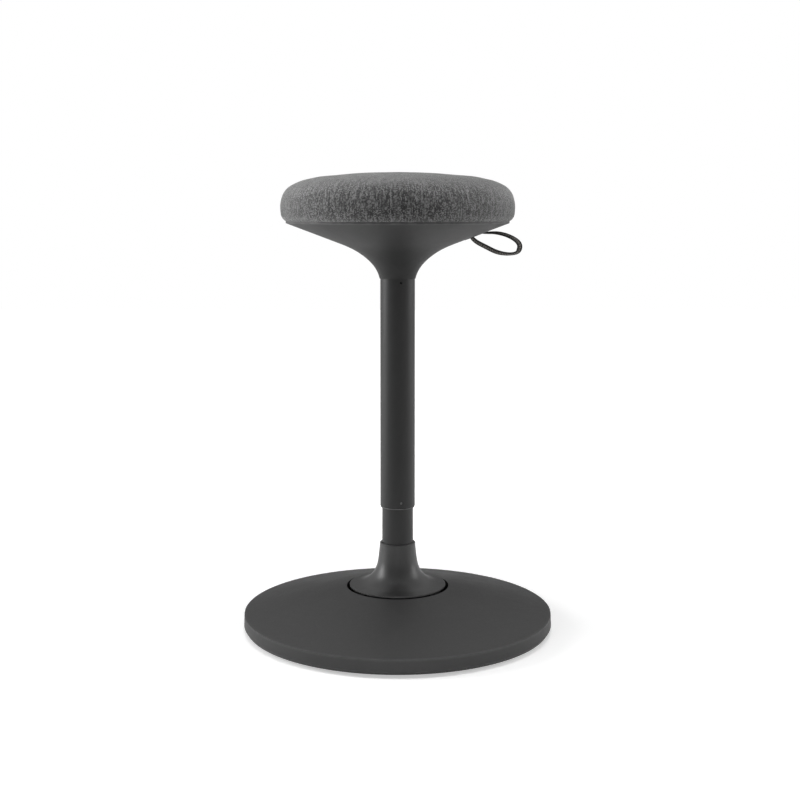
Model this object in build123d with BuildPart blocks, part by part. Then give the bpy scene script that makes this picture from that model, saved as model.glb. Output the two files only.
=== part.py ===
from build123d import *
import os
from math import asin, atan2, cos, degrees, radians, sin, tan

os.makedirs("parts", exist_ok=True)

# Sit/stand swivel stool: weighted disc base, a column that tilts in a rubber bush, a gas
# spring that lifts and turns the seat, and a pull loop that opens the gas valve.
# Millimetres, +Z up, origin on the floor at the middle of the base. Rest is mid height.

# ---------------------------------------------------------------- driving sizes
# Base
base_r = 220.0  # widest radius of the cover
rim_bottom_z = 4.0  # lower edge of the cover above the floor
rim_bevel_h = 4.5  # height of the bevel under the rim
rim_bevel_in = 3.0  # how far the bevel runs inwards
rim_top_z = 24.0
rim_draft = 0.5  # the side leans in by this much
rim_round = 1.5
opening_r = 73.2  # round opening that the collar floats in
opening_z = 58.5  # top of the cone at that opening
opening_round = 1.2
cover_t = 2.5
well_floor_z = 36.0  # underside of the dished well's floor
rib_t = 2.0
rib_count = 12
plate_t = 3.0
plate_z = 5.0  # underside of the base plate
plate_gap = 0.5  # round the plate, inside the skirt
foot_w = 10.0
foot_inset = 14.0  # from the widest radius to the foot's outer edge
weight_t = 9.0
weight_inset = 15.0
support_gap = 0.2  # the cover's ribs over the weight
cover_screw_pcd = 300.0
cover_screw_count = 6
cover_screw_turn = 15.0  # degrees, of the first screw
cover_screw_r = 2.5
cover_screw_head_h = 2.2
screw_boss_wall = 3.0
housing_bolt_pcd = 96.0
housing_bolt_count = 4
housing_bolt_turn = 45.0  # degrees, of the first bolt
housing_bolt_r = 4.0
housing_bolt_head_h = 3.0
thread_gap = 0.02
screw_hole_gap = 0.7  # a screw passing through a plate

# Tilting joint
pivot_z = 42.0
bush_h = 24.0
bush_r = 32.0
stem_r = 14.0
bonded_gap = 0.2  # rubber beside metal
housing_wall = 8.0
housing_flange_r = 56.0
housing_flange_t = 8.0
chamber_r = 28.0
washer_r = 24.0
washer_t = 4.0
nut_af = 24.0  # across flats
nut_h = 10.0
stem_thread_r = 8.0

# Column and collar
column_r = 22.3
column_wall = 2.0
column_top_z = 428.0
flange_z = 56.0
flange_t = 6.0
flange_r = 28.0
spigot_h = 22.0
press_gap = 0.05
collar_top_z = 121.0
collar_foot_r = 68.8
collar_foot_z = 58.8
collar_foot_t = 2.2
collar_wall = 2.5
collar_gap = 0.3
sleeve_wall = 2.6
collar_top_round = 0.9
collar_rib_r = 52.0
collar_rib_count = 8

# Swivel bearing and gas spring
run_gap = 0.05  # radial clearance of every running fit
rod_r = 5.0
rod_plate_t = 6.0
rod_pocket_r = 14.0
rod_end_drop = 8.0  # rod below its plate
race_r = 13.0
race_t = 2.0
ball_r = 2.0
ball_count = 10
ball_pcd = 19.0
ball_gap = 0.02
cage_t = 1.6
clip_r = 9.0
clip_t = 1.2
damper_h = 12.0
damper_r = 12.0
cylinder_r = 14.0
cylinder_wall = 1.5
cylinder_bottom_z = 162.0
cylinder_top_z = 567.0
gland_h = 20.0
end_plug_h = 22.0
piston_drop = 28.0  # from the column's top down to the piston at mid height
piston_h = 12.0
taper_h = 37.0
taper_in = 0.8  # the taper loses this much radius over its height
taper_gap = 0.02
valve_r = 3.0
valve_depth = 18.0
valve_top_z = 575.4
column_bush_h = 40.0
column_bush_flange_t = 3.0

# Outer tube
tube_r = 25.0
tube_wall = 1.5
tube_bottom_z = 172.8
tube_top_z = 530.0
tube_lip_round = 1.2
guide_h = 32.0
guide_lip_t = 1.2
guide_lip_in = 0.8
small_hole_r = 1.75
nib_z = 181.0
lock_z = 495.0
small_hole_turn = 12.0  # degrees to the right of the front
nib_gap = 0.05
lock_recess = 0.6

# Seat hub, mount plate and lever
hub_spigot_z = 484.0
hub_bore_gap = 0.6
hub_shoulder_h = 4.0
hub_neck_r = 21.0
hub_flange_r = 30.0
hub_flange_t = 6.0
channel_z = 568.0  # underside of the web
channel_t = 3.0
channel_l = 110.0
channel_w = 80.0
channel_flange_w = 22.0
board_z = 583.3  # where the upholstered pad meets the bowl and the channel
mount_screw_x = 48.0
mount_screw_y = 51.0
mount_screw_r = 3.0
mount_head_r = 5.5
mount_head_h = 3.3
mount_screw_depth = 16.0  # of the hole in the boss
lever_pivot_x = -30.0
lever_pivot_z = 577.0
lever_t = 3.0
lever_w = 9.0
lever_eye_r = 4.4
lever_pin_r = 2.0
lever_end_x = 111.0
lever_foot_l = 7.5
lever_foot_z = 568.5
lever_swing = 4.5  # degrees
lever_slot_from_x = 17.0
ear_t = 2.0
ear_gap = 0.3
ear_foot = 8.0
clamp_l = 9.0
clamp_w = 8.6
clamp_h = 7.0
clamp_back = 0.5  # the clamp reaches this far behind the lever's foot
clamp_slant = 30.0  # degrees, of the face that the lower leg enters
clamp_slant_l = 5.4

# Bowl
bowl_r = 161.0
bowl_neck_z = 500.3
bowl_neck_lip = 0.9
bowl_rim_h = 3.0
bowl_t = 3.0
bowl_flare_r = 84.0
bowl_flare_h = 50.7  # from the neck's edge to the start of the cone
bowl_rim_w = 3.4
slot_l = 34.0
slot_w = 11.0
slot_middle_x = 113.5
grommet_t = 1.0
grommet_lip = 2.0
bowl_rib_count = 8
boss_r = 6.5
clip_inset = 23.0  # from the rim to the middle of each pad clip
clip_turn = 30.0  # degrees, of the first clip
clip_count = 6
clip_stem_r = 3.0
clip_head_r = 7.0
clip_head_t = 2.0
clip_drop = 8.0
clip_gap = 0.2

# Pad
board_inset = 3.5  # inside the bowl's rim
board_t = 10.0
pad_overhang = 8.2  # past the bowl's rim
pad_h = 70.7  # above the board's underside
pad_widest_share = 0.236  # of the height, where the side is widest
pad_shoulder_share = 0.379  # of the height, from the top down to the shoulder
pad_shoulder_in = 8.0
pad_crown_in = 44.2  # from the widest radius to the edge of the crown
pad_crown_h = 9.0  # the crown is a shallow dome this high
cover_cloth_t = 2.0
soft_gap = 0.3

# Pull loop: a flat woven tape
tape_w = 8.0
tape_t = 2.5


def turn(*outline):
    """Revolve a closed half outline of (radius, height) points about the vertical axis."""
    with BuildSketch(Plane.XZ) as half:
        with BuildLine():
            Polyline(*outline, close=True)
        make_face()
    revolve(half.sketch, axis=Axis.Z)


def ring(inner, outer, low, high):
    """A plain ring, or a disc when the inner radius is 0."""
    turn((inner, low), (outer, low), (outer, high), (inner, high))


# ---------------------------------------------------------------- base
rim_top_r = base_r - rim_draft
cone_slope = (opening_z - rim_top_z) / (rim_top_r - opening_r)
cone_drop = cover_t / cos(atan2(opening_z - rim_top_z, rim_top_r - opening_r))
skirt_r = rim_top_r - cover_t
bevel_top_z = rim_bottom_z + rim_bevel_h
plate_r = base_r - rim_bevel_in - cover_t - plate_gap
plate_top_z = plate_z + plate_t
weight_top_z = plate_top_z + weight_t
rib_z = weight_top_z + support_gap
housing_r = bush_r + housing_wall
well_r = housing_r + 10.0
well_top_z = well_floor_z + cover_t
cover_screw_at = cover_screw_pcd / 2


def cone_z(r):
    """Height of the cover's top surface at a radius."""
    return rim_top_z + (rim_top_r - r) * cone_slope


def under_cone_z(r):
    """Height of the cover's inner surface at a radius."""
    return cone_z(r) - cone_drop


screw_depth_z = under_cone_z(cover_screw_at) - 4.0

with BuildPart() as base_cover:
    with BuildSketch(Plane.XZ):
        with BuildLine():
            Polyline(
                (base_r - rim_bevel_in, rim_bottom_z),
                (base_r, bevel_top_z),
                (rim_top_r, rim_top_z),
                (opening_r, opening_z),
                (opening_r, well_top_z),
                (well_r, well_top_z),
                (well_r, well_floor_z),
                (opening_r + cover_t, well_floor_z),
                (opening_r + cover_t, under_cone_z(opening_r + cover_t)),
                (skirt_r, under_cone_z(skirt_r)),
                (skirt_r, bevel_top_z),
                (base_r - rim_bevel_in - cover_t, rim_bottom_z),
                close=True,
            )
        make_face()
        corners = vertices().filter_by(lambda v: abs(v.Z - rim_top_z) < 0.01 and v.X > skirt_r)
        fillet(corners, rim_round)
        corners = vertices().filter_by(lambda v: abs(v.Z - opening_z) < 0.01)
        fillet(corners, opening_round)
    revolve(axis=Axis.Z)
    rib_in = opening_r + cover_t - 0.5
    rib_out = skirt_r - 6.0
    for n in range(rib_count):
        with BuildSketch(Plane.XZ.rotated((0, 0, 360 / rib_count * n))):
            with BuildLine():
                Polyline(
                    (rib_in, rib_z),
                    (rib_out, rib_z),
                    (rib_out, under_cone_z(rib_out) + 1.0),
                    (rib_in, under_cone_z(rib_in) + 1.0),
                    close=True,
                )
            make_face()
        extrude(amount=rib_t / 2, both=True)
    with BuildSketch(Plane.XY.offset(rib_z)):
        with PolarLocations(cover_screw_at, cover_screw_count, start_angle=cover_screw_turn):
            Circle(cover_screw_r + screw_boss_wall)
    extrude(amount=under_cone_z(cover_screw_at) - rib_z + 0.5)
    with BuildSketch(Plane.XY.offset(rib_z)):
        with PolarLocations(cover_screw_at, cover_screw_count, start_angle=cover_screw_turn):
            Circle(cover_screw_r + thread_gap)
    extrude(amount=screw_depth_z - rib_z, mode=Mode.SUBTRACT)
base_cover.part.label = "base_cover"
export_step(base_cover.part, "parts/base_cover.step")

with BuildPart() as base_plate:
    with BuildSketch(Plane.XY.offset(plate_z)):
        Circle(plate_r)
        with PolarLocations(cover_screw_at, cover_screw_count, start_angle=cover_screw_turn):
            Circle(cover_screw_r + screw_hole_gap, mode=Mode.SUBTRACT)
        with PolarLocations(housing_bolt_pcd / 2, housing_bolt_count, start_angle=housing_bolt_turn):
            Circle(housing_bolt_r + screw_hole_gap, mode=Mode.SUBTRACT)
    extrude(amount=plate_t)
base_plate.part.label = "base_plate"
export_step(base_plate.part, "parts/base_plate.step")

with BuildPart() as base_weight:
    ring(housing_flange_r + 1.0, base_r - weight_inset, plate_top_z, weight_top_z)
    chamfer(base_weight.faces().sort_by(Axis.Z)[-1].edges(), 1.5)
    with BuildSketch(Plane.XY.offset(plate_top_z)):
        with PolarLocations(cover_screw_at, cover_screw_count, start_angle=cover_screw_turn):
            Circle(cover_screw_r + screw_hole_gap)
    extrude(amount=weight_t, mode=Mode.SUBTRACT)
base_weight.part.label = "base_weight"
export_step(base_weight.part, "parts/base_weight.step")

with BuildPart() as foot_ring:
    ring(base_r - foot_inset - foot_w, base_r - foot_inset, 0, plate_z)
    chamfer(foot_ring.faces().sort_by(Axis.Z)[0].edges(), 1.2)
foot_ring.part.label = "foot_ring"
export_step(foot_ring.part, "parts/foot_ring.step")

with BuildPart() as cover_screws:
    with BuildSketch(Plane.XY.offset(plate_z - cover_screw_head_h)):
        with PolarLocations(cover_screw_at, cover_screw_count, start_angle=cover_screw_turn):
            Circle(cover_screw_r * 1.9)
    extrude(amount=cover_screw_head_h)
    with BuildSketch(Plane.XY.offset(plate_z - cover_screw_head_h / 2)):
        with PolarLocations(cover_screw_at, cover_screw_count, start_angle=cover_screw_turn):
            Circle(cover_screw_r)
    extrude(amount=screw_depth_z - 1.0 - plate_z + cover_screw_head_h / 2)
cover_screws.part.label = "cover_screws"
export_step(cover_screws.part, "parts/cover_screws.step")

with BuildPart() as pivot_housing:
    turn(
        (chamber_r, plate_top_z),
        (housing_flange_r, plate_top_z),
        (housing_flange_r, plate_top_z + housing_flange_t),
        (housing_r, plate_top_z + housing_flange_t + 3.0),
        (housing_r, pivot_z + bush_h / 2 - 1.5),
        (housing_r - 1.5, pivot_z + bush_h / 2),
        (bush_r, pivot_z + bush_h / 2),
        (bush_r, pivot_z - bush_h / 2),
        (chamber_r, pivot_z - bush_h / 2),
    )
    with BuildSketch(Plane.XY.offset(plate_top_z)):
        with PolarLocations(housing_bolt_pcd / 2, housing_bolt_count, start_angle=housing_bolt_turn):
            Circle(housing_bolt_r + thread_gap)
    extrude(amount=housing_flange_t + 3.0, mode=Mode.SUBTRACT)
pivot_housing.part.label = "pivot_housing"
export_step(pivot_housing.part, "parts/pivot_housing.step")

with BuildPart() as housing_bolts:
    with BuildSketch(Plane.XY.offset(plate_z - housing_bolt_head_h)):
        with PolarLocations(housing_bolt_pcd / 2, housing_bolt_count, start_angle=housing_bolt_turn):
            RegularPolygon(housing_bolt_r * 1.7, 6)
    extrude(amount=housing_bolt_head_h)
    with BuildSketch(Plane.XY.offset(plate_z - housing_bolt_head_h / 2)):
        with PolarLocations(housing_bolt_pcd / 2, housing_bolt_count, start_angle=housing_bolt_turn):
            Circle(housing_bolt_r)
    extrude(amount=housing_bolt_head_h / 2 + plate_t + housing_flange_t - 0.5)
housing_bolts.part.label = "housing_bolts"
export_step(housing_bolts.part, "parts/housing_bolts.step")

# ---------------------------------------------------------------- rubber bush
with BuildPart() as tilt_bush:
    groove = 2.5
    turn(
        (stem_r + bonded_gap, pivot_z - bush_h / 2 + bonded_gap),
        (bush_r - bonded_gap, pivot_z - bush_h / 2 + bonded_gap),
        (bush_r - bonded_gap, pivot_z + bush_h / 2 - bonded_gap),
        (bush_r - 5.0, pivot_z + bush_h / 2 - bonded_gap),
        ((bush_r + stem_r) / 2, pivot_z + bush_h / 2 - groove),
        (stem_r + 5.0, pivot_z + bush_h / 2 - bonded_gap),
        (stem_r + bonded_gap, pivot_z + bush_h / 2 - bonded_gap),
    )
tilt_bush.part.label = "tilt_bush"
export_step(tilt_bush.part, "parts/tilt_bush.step")

# ---------------------------------------------------------------- column
column_bore = column_r - column_wall
column_bottom_z = flange_z + flange_t
spigot_top_z = column_bottom_z + spigot_h
washer_top_z = pivot_z - bush_h / 2
stem_end_z = washer_top_z - washer_t - nut_h - 2.0

with BuildPart() as column_foot:
    turn(
        (0, stem_end_z),
        (stem_thread_r - 1.0, stem_end_z),
        (stem_thread_r, stem_end_z + 1.0),
        (stem_thread_r, washer_top_z),
        (stem_r, washer_top_z),
        (stem_r, flange_z - 1.5),
        (stem_r + 1.5, flange_z),
        (flange_r, flange_z),
        (flange_r, column_bottom_z),
        (column_bore - press_gap, column_bottom_z),
        (column_bore - press_gap, spigot_top_z),
        (rod_pocket_r, spigot_top_z),
        (rod_pocket_r, spigot_top_z - rod_end_drop - 2.0),
        (0, spigot_top_z - rod_end_drop - 2.0),
    )
column_foot.part.label = "column_foot"
export_step(column_foot.part, "parts/column_foot.step")

with BuildPart() as stem_washer:
    ring(stem_thread_r + thread_gap, washer_r, washer_top_z - washer_t, washer_top_z - bonded_gap / 2)
    rims = stem_washer.edges().filter_by(GeomType.CIRCLE).sort_by(SortBy.RADIUS)
    chamfer(rims[-2:], 0.6)
stem_washer.part.label = "stem_washer"
export_step(stem_washer.part, "parts/stem_washer.step")

with BuildPart() as stem_nut:
    with BuildSketch(Plane.XY.offset(washer_top_z - washer_t - nut_h)):
        RegularPolygon(nut_af / 2, 6, major_radius=False)
        Circle(stem_thread_r + thread_gap, mode=Mode.SUBTRACT)
    extrude(amount=nut_h)
stem_nut.part.label = "stem_nut"
export_step(stem_nut.part, "parts/stem_nut.step")

with BuildPart() as column_tube:
    ring(column_bore, column_r, column_bottom_z, column_top_z)
    chamfer(column_tube.edges().filter_by(GeomType.CIRCLE).sort_by(Axis.Z)[-2:], 0.4)
column_tube.part.label = "column_tube"
export_step(column_tube.part, "parts/column_tube.step")

# Collar: a trumpet whose foot floats in the base's opening, on a sleeve round the column
# that stands on the column's foot.
collar_in = column_r + collar_gap
trumpet = [
    (collar_in + 2.9, collar_top_z - collar_top_round),
    (collar_in + 4.5, 103.0),
    (collar_in + 6.6, 90.0),
    (collar_in + 12.4, 77.0),
    (collar_in + 25.4, 65.8),
    (collar_foot_r, collar_foot_z + collar_foot_t),
]
trumpet_angle = [88.0, 83.5, 75.5, 55.0, 27.0, 6.0]
inner_trumpet = [
    (r - collar_wall * sin(radians(a)), z - collar_wall * cos(radians(a)))
    for (r, z), a in zip(trumpet, trumpet_angle)
]
inner_trumpet[-1] = (collar_foot_r, collar_foot_z)
sleeve_r = collar_in + sleeve_wall
hollow_top = inner_trumpet[2]  # the wall is solid above this point
collar_rib_z = column_bottom_z + 0.5


def collar_curve(points, angles):
    """The trumpet's wall as one smooth curve down to the foot."""
    return Spline(
        *points,
        tangents=[
            (cos(radians(angles[0])), -sin(radians(angles[0]))),
            (cos(radians(angles[-1])), -sin(radians(angles[-1]))),
        ],
    )


with BuildPart() as floor_collar:
    for n in range(collar_rib_count):
        with BuildSketch(Plane.XZ.rotated((0, 0, 360 / collar_rib_count * (n + 0.5)))):
            with BuildLine():
                Polyline(
                    (sleeve_r - 0.5, collar_rib_z),
                    (collar_rib_r, collar_rib_z),
                    (collar_rib_r, collar_rib_z + 2.0),
                    (sleeve_r - 0.5, hollow_top[1]),
                    close=True,
                )
            make_face()
        extrude(amount=rib_t / 2, both=True)
    with BuildSketch(Plane.XZ):
        with BuildLine():
            outside = collar_curve(trumpet, trumpet_angle)
            Polyline(outside @ 1, (collar_foot_r, collar_foot_z), (0, collar_foot_z), (0, collar_top_z))
            Polyline((0, collar_top_z), (collar_in + 2.0, collar_top_z), outside @ 0)
        make_face()
    revolve(axis=Axis.Z, mode=Mode.INTERSECT)
    with BuildSketch(Plane.XZ):
        with BuildLine():
            outside = collar_curve(trumpet, trumpet_angle)
            inside = collar_curve(inner_trumpet[2:], trumpet_angle[2:])
            Polyline(outside @ 1, inside @ 1)
            Polyline(
                inside @ 0,
                (sleeve_r, hollow_top[1] - 1.0),
                (sleeve_r, column_bottom_z),
                (collar_in, column_bottom_z),
                (collar_in, collar_top_z),
                (collar_in + 2.0, collar_top_z),
                outside @ 0,
            )
        make_face()
    revolve(axis=Axis.Z)
floor_collar.part.label = "floor_collar"
export_step(floor_collar.part, "parts/floor_collar.step")

with BuildPart() as column_bush:
    turn(
        (cylinder_r + run_gap, column_top_z - column_bush_h),
        (column_bore - press_gap, column_top_z - column_bush_h),
        (column_bore - press_gap, column_top_z),
        (column_r - 0.2, column_top_z),
        (column_r - 0.2, column_top_z + column_bush_flange_t - 0.8),
        (column_r - 1.0, column_top_z + column_bush_flange_t),
        (cylinder_r + 1.0, column_top_z + column_bush_flange_t),
        (cylinder_r + run_gap, column_top_z + column_bush_flange_t - 1.0),
    )
column_bush.part.label = "column_bush"
export_step(column_bush.part, "parts/column_bush.step")

# ---------------------------------------------------------------- swivel bearing
rod_plate_top_z = spigot_top_z + rod_plate_t
with BuildPart() as rod_plate:
    ring(rod_r + run_gap, column_bore - press_gap, spigot_top_z, rod_plate_top_z)
rod_plate.part.label = "rod_plate"
export_step(rod_plate.part, "parts/rod_plate.step")

race_top_z = rod_plate_top_z + race_t
ball_z = race_top_z + ball_gap + ball_r
upper_race_z = ball_z + ball_r + ball_gap
with BuildPart() as lower_race:
    ring(rod_r + 0.5, race_r, rod_plate_top_z, race_top_z)
lower_race.part.label = "lower_race"
export_step(lower_race.part, "parts/lower_race.step")

with BuildPart() as upper_race:
    ring(rod_r + thread_gap, race_r, upper_race_z, upper_race_z + race_t)
upper_race.part.label = "upper_race"
export_step(upper_race.part, "parts/upper_race.step")

with BuildPart() as bearing_balls:
    with PolarLocations(ball_pcd / 2, ball_count):
        with Locations((0, 0, ball_z)):
            Sphere(ball_r)
bearing_balls.part.label = "bearing_balls"
export_step(bearing_balls.part, "parts/bearing_balls.step")

with BuildPart() as bearing_cage:
    with BuildSketch(Plane.XY.offset(ball_z - cage_t / 2)):
        Circle(race_r - 0.6)
        Circle(rod_r + 0.9, mode=Mode.SUBTRACT)
        with PolarLocations(ball_pcd / 2, ball_count):
            Circle(ball_r + run_gap, mode=Mode.SUBTRACT)
    extrude(amount=cage_t)
bearing_cage.part.label = "bearing_cage"
export_step(bearing_cage.part, "parts/bearing_cage.step")

# ---------------------------------------------------------------- piston rod
piston_z = column_top_z - piston_drop
rod_end_z = spigot_top_z - rod_end_drop
clip_z = spigot_top_z - 0.2 - clip_t
with BuildPart() as piston_rod:
    groove_r = rod_r - 0.8
    turn(
        (0, rod_end_z),
        (rod_r - 0.8, rod_end_z),
        (rod_r, rod_end_z + 0.8),
        (rod_r, clip_z - thread_gap),
        (groove_r, clip_z - thread_gap),
        (groove_r, clip_z + clip_t + thread_gap),
        (rod_r, clip_z + clip_t + thread_gap),
        (rod_r, piston_z),
        (0, piston_z),
    )
piston_rod.part.label = "piston_rod"
export_step(piston_rod.part, "parts/piston_rod.step")

with BuildPart() as rod_clip:
    with BuildSketch(Plane.XY.offset(clip_z)):
        Circle(clip_r)
        Circle(rod_r - 0.8 + thread_gap, mode=Mode.SUBTRACT)
        with Locations((clip_r / 2 + 1.0, 0)):
            Rectangle(clip_r, rod_r, mode=Mode.SUBTRACT)
    extrude(amount=clip_t)
rod_clip.part.label = "rod_clip"
export_step(rod_clip.part, "parts/rod_clip.step")

with BuildPart() as piston:
    cylinder_bore = cylinder_r - cylinder_wall
    with BuildSketch(Plane.XY.offset(piston_z)):
        Circle(cylinder_bore - run_gap)
    extrude(amount=piston_h)
    seal_z = piston_z + piston_h / 2
    with BuildSketch(Plane.XZ):
        with Locations((cylinder_bore - run_gap, seal_z)):
            Rectangle(2.0, 3.0)
    revolve(axis=Axis.Z, mode=Mode.SUBTRACT)
piston.part.label = "piston"
export_step(piston.part, "parts/piston.step")

with BuildPart() as rod_damper:
    damper_z = upper_race_z + race_t
    turn(
        (rod_r + thread_gap, damper_z),
        (damper_r, damper_z),
        (damper_r, damper_z + damper_h * 0.6),
        (damper_r - 3.0, damper_z + damper_h),
        (rod_r + thread_gap, damper_z + damper_h),
    )
rod_damper.part.label = "rod_damper"
export_step(rod_damper.part, "parts/rod_damper.step")

# ---------------------------------------------------------------- gas cylinder and valve
valve_hole_z = cylinder_top_z - valve_depth
with BuildPart() as gas_cylinder:
    cylinder_bore = cylinder_r - cylinder_wall
    chamber_top_z = cylinder_top_z - end_plug_h
    turn(
        (rod_r + run_gap, cylinder_bottom_z),
        (cylinder_r - 1.5, cylinder_bottom_z),
        (cylinder_r, cylinder_bottom_z + 1.5),
        (cylinder_r, cylinder_top_z - taper_h),
        (cylinder_r - taper_in, cylinder_top_z),
        (valve_r + run_gap, cylinder_top_z),
        (valve_r + run_gap, valve_hole_z),
        (0, valve_hole_z),
        (0, chamber_top_z),
        (cylinder_bore, chamber_top_z),
        (cylinder_bore, cylinder_bottom_z + gland_h),
        (rod_r + run_gap, cylinder_bottom_z + gland_h),
    )
gas_cylinder.part.label = "gas_cylinder"
export_step(gas_cylinder.part, "parts/gas_cylinder.step")

with BuildPart() as valve_pin:
    valve_travel = -lever_pivot_x * radians(lever_swing)
    valve_head_r = 2.0
    turn(
        (0, valve_hole_z + valve_travel + 0.5),
        (valve_r, valve_hole_z + valve_travel + 0.5),
        (valve_r, valve_top_z - 2.5),
        (valve_head_r, valve_top_z - 0.6),
        (valve_head_r - 0.8, valve_top_z),
        (0, valve_top_z),
    )
valve_pin.part.label = "valve_pin"
export_step(valve_pin.part, "parts/valve_pin.step")

# ---------------------------------------------------------------- outer tube
tube_bore = tube_r - tube_wall
small_dir = (sin(radians(small_hole_turn)), -cos(radians(small_hole_turn)), 0)


def small_hole_plane(z):
    """A plane on the axis at a height, facing out towards the tube's small holes."""
    return Plane(origin=(0, 0, z), z_dir=small_dir)


with BuildPart() as outer_tube:
    ring(tube_bore, tube_r, tube_bottom_z, tube_top_z)
    lip = outer_tube.edges().filter_by(GeomType.CIRCLE).group_by(Axis.Z)[0]
    fillet(lip.sort_by(SortBy.RADIUS)[-1], tube_lip_round)
    for z in (nib_z, lock_z):
        with BuildSketch(small_hole_plane(z)):
            Circle(small_hole_r)
        extrude(amount=tube_r + 1.0, mode=Mode.SUBTRACT)
outer_tube.part.label = "outer_tube"
export_step(outer_tube.part, "parts/outer_tube.step")

with BuildPart() as guide_bush:
    turn(
        (column_r + run_gap, tube_bottom_z - guide_lip_t),
        (tube_r - guide_lip_in, tube_bottom_z - guide_lip_t),
        (tube_r - guide_lip_in, tube_bottom_z),
        (tube_bore - press_gap, tube_bottom_z),
        (tube_bore - press_gap, tube_bottom_z + guide_h),
        (column_r + run_gap, tube_bottom_z + guide_h),
    )
    with BuildSketch(small_hole_plane(nib_z).offset(column_r + run_gap + 0.3)):
        Circle(small_hole_r - nib_gap)
    extrude(amount=tube_r - column_r - run_gap - 0.3 - 0.4)
guide_bush.part.label = "guide_bush"
export_step(guide_bush.part, "parts/guide_bush.step")

with BuildPart() as tube_lock_screw:
    lock_start = cylinder_r + hub_bore_gap + 2.0
    with BuildSketch(small_hole_plane(lock_z).offset(lock_start)):
        Circle(small_hole_r - nib_gap)
    extrude(amount=tube_r - lock_recess - lock_start)
    with BuildSketch(small_hole_plane(lock_z).offset(tube_r - lock_recess)):
        RegularPolygon(0.9, 6)
    extrude(amount=-1.4, mode=Mode.SUBTRACT)
tube_lock_screw.part.label = "tube_lock_screw"
export_step(tube_lock_screw.part, "parts/tube_lock_screw.step")

# ---------------------------------------------------------------- hub and mount plate
taper_z = cylinder_top_z - taper_h
with BuildPart() as seat_hub:
    bore = cylinder_r + hub_bore_gap
    turn(
        (bore, hub_spigot_z),
        (tube_bore - press_gap, hub_spigot_z),
        (tube_bore - press_gap, tube_top_z),
        (tube_r, tube_top_z),
        (tube_r, tube_top_z + hub_shoulder_h),
        (hub_neck_r, tube_top_z + hub_shoulder_h + 2.0),
        (hub_neck_r, channel_z - hub_flange_t - 4.0),
        (hub_flange_r, channel_z - hub_flange_t),
        (hub_flange_r, channel_z),
        (cylinder_r - taper_in + taper_gap, channel_z),
        (cylinder_r - taper_in + taper_gap, cylinder_top_z),
        (cylinder_r + taper_gap, taper_z),
        (bore, taper_z - 1.0),
    )
    with BuildSketch(small_hole_plane(lock_z).offset(cylinder_r + hub_bore_gap / 2)):
        Circle(small_hole_r - nib_gap + thread_gap)
    extrude(amount=tube_r, mode=Mode.SUBTRACT)
seat_hub.part.label = "seat_hub"
export_step(seat_hub.part, "parts/seat_hub.step")

half_w = channel_w / 2
web_top_z = channel_z + channel_t
with BuildPart() as mount_plate:
    with BuildSketch(Plane.YZ.offset(-channel_l / 2)):
        with BuildLine():
            Polyline(
                (-half_w, channel_z),
                (half_w, channel_z),
                (half_w, board_z - channel_t),
                (half_w + channel_flange_w, board_z - channel_t),
                (half_w + channel_flange_w, board_z),
                (half_w - channel_t, board_z),
                (half_w - channel_t, web_top_z),
                (-half_w + channel_t, web_top_z),
                (-half_w + channel_t, board_z),
                (-half_w - channel_flange_w, board_z),
                (-half_w - channel_flange_w, board_z - channel_t),
                (-half_w, board_z - channel_t),
                close=True,
            )
        make_face()
    extrude(amount=channel_l)
    with BuildSketch(Plane.XY.offset(channel_z)):
        Circle(valve_r + 5.0)
        with Locations(((lever_slot_from_x + channel_l / 2) / 2, 0)):
            Rectangle(channel_l / 2 - lever_slot_from_x, lever_w + 4.0)
    extrude(amount=channel_t, mode=Mode.SUBTRACT)
    with BuildSketch(Plane.XY.offset(board_z - channel_t)):
        with GridLocations(2 * mount_screw_x, 2 * mount_screw_y, 2, 2):
            Circle(mount_screw_r + screw_hole_gap / 2)
    extrude(amount=channel_t, mode=Mode.SUBTRACT)
mount_plate.part.label = "mount_plate"
export_step(mount_plate.part, "parts/mount_plate.step")

ear_y = lever_w / 2 + ear_gap
with BuildPart() as lever_bracket:
    for side in (-1, 1):
        with BuildSketch(Plane.YZ.offset(lever_pivot_x - 6.0)):
            with BuildLine():
                Polyline(
                    (side * ear_y, web_top_z),
                    (side * (ear_y + ear_foot), web_top_z),
                    (side * (ear_y + ear_foot), web_top_z + ear_t),
                    (side * (ear_y + ear_t), web_top_z + ear_t),
                    (side * (ear_y + ear_t), lever_pivot_z + 5.0),
                    (side * ear_y, lever_pivot_z + 5.0),
                    close=True,
                )
            make_face()
        extrude(amount=12.0)
    with BuildSketch(Plane.XZ.offset(-ear_y - ear_foot)):
        with Locations((lever_pivot_x, lever_pivot_z)):
            Circle(lever_pin_r + thread_gap)
    extrude(amount=2 * (ear_y + ear_foot), mode=Mode.SUBTRACT)
lever_bracket.part.label = "lever_bracket"
export_step(lever_bracket.part, "parts/lever_bracket.step")

with BuildPart() as lever_pin:
    with BuildSketch(Plane.XZ.offset(-ear_y - ear_t - 1.0)):
        with Locations((lever_pivot_x, lever_pivot_z)):
            Circle(lever_pin_r)
    extrude(amount=2 * (ear_y + ear_t + 1.0))
lever_pin.part.label = "lever_pin"
export_step(lever_pin.part, "parts/lever_pin.step")

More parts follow.
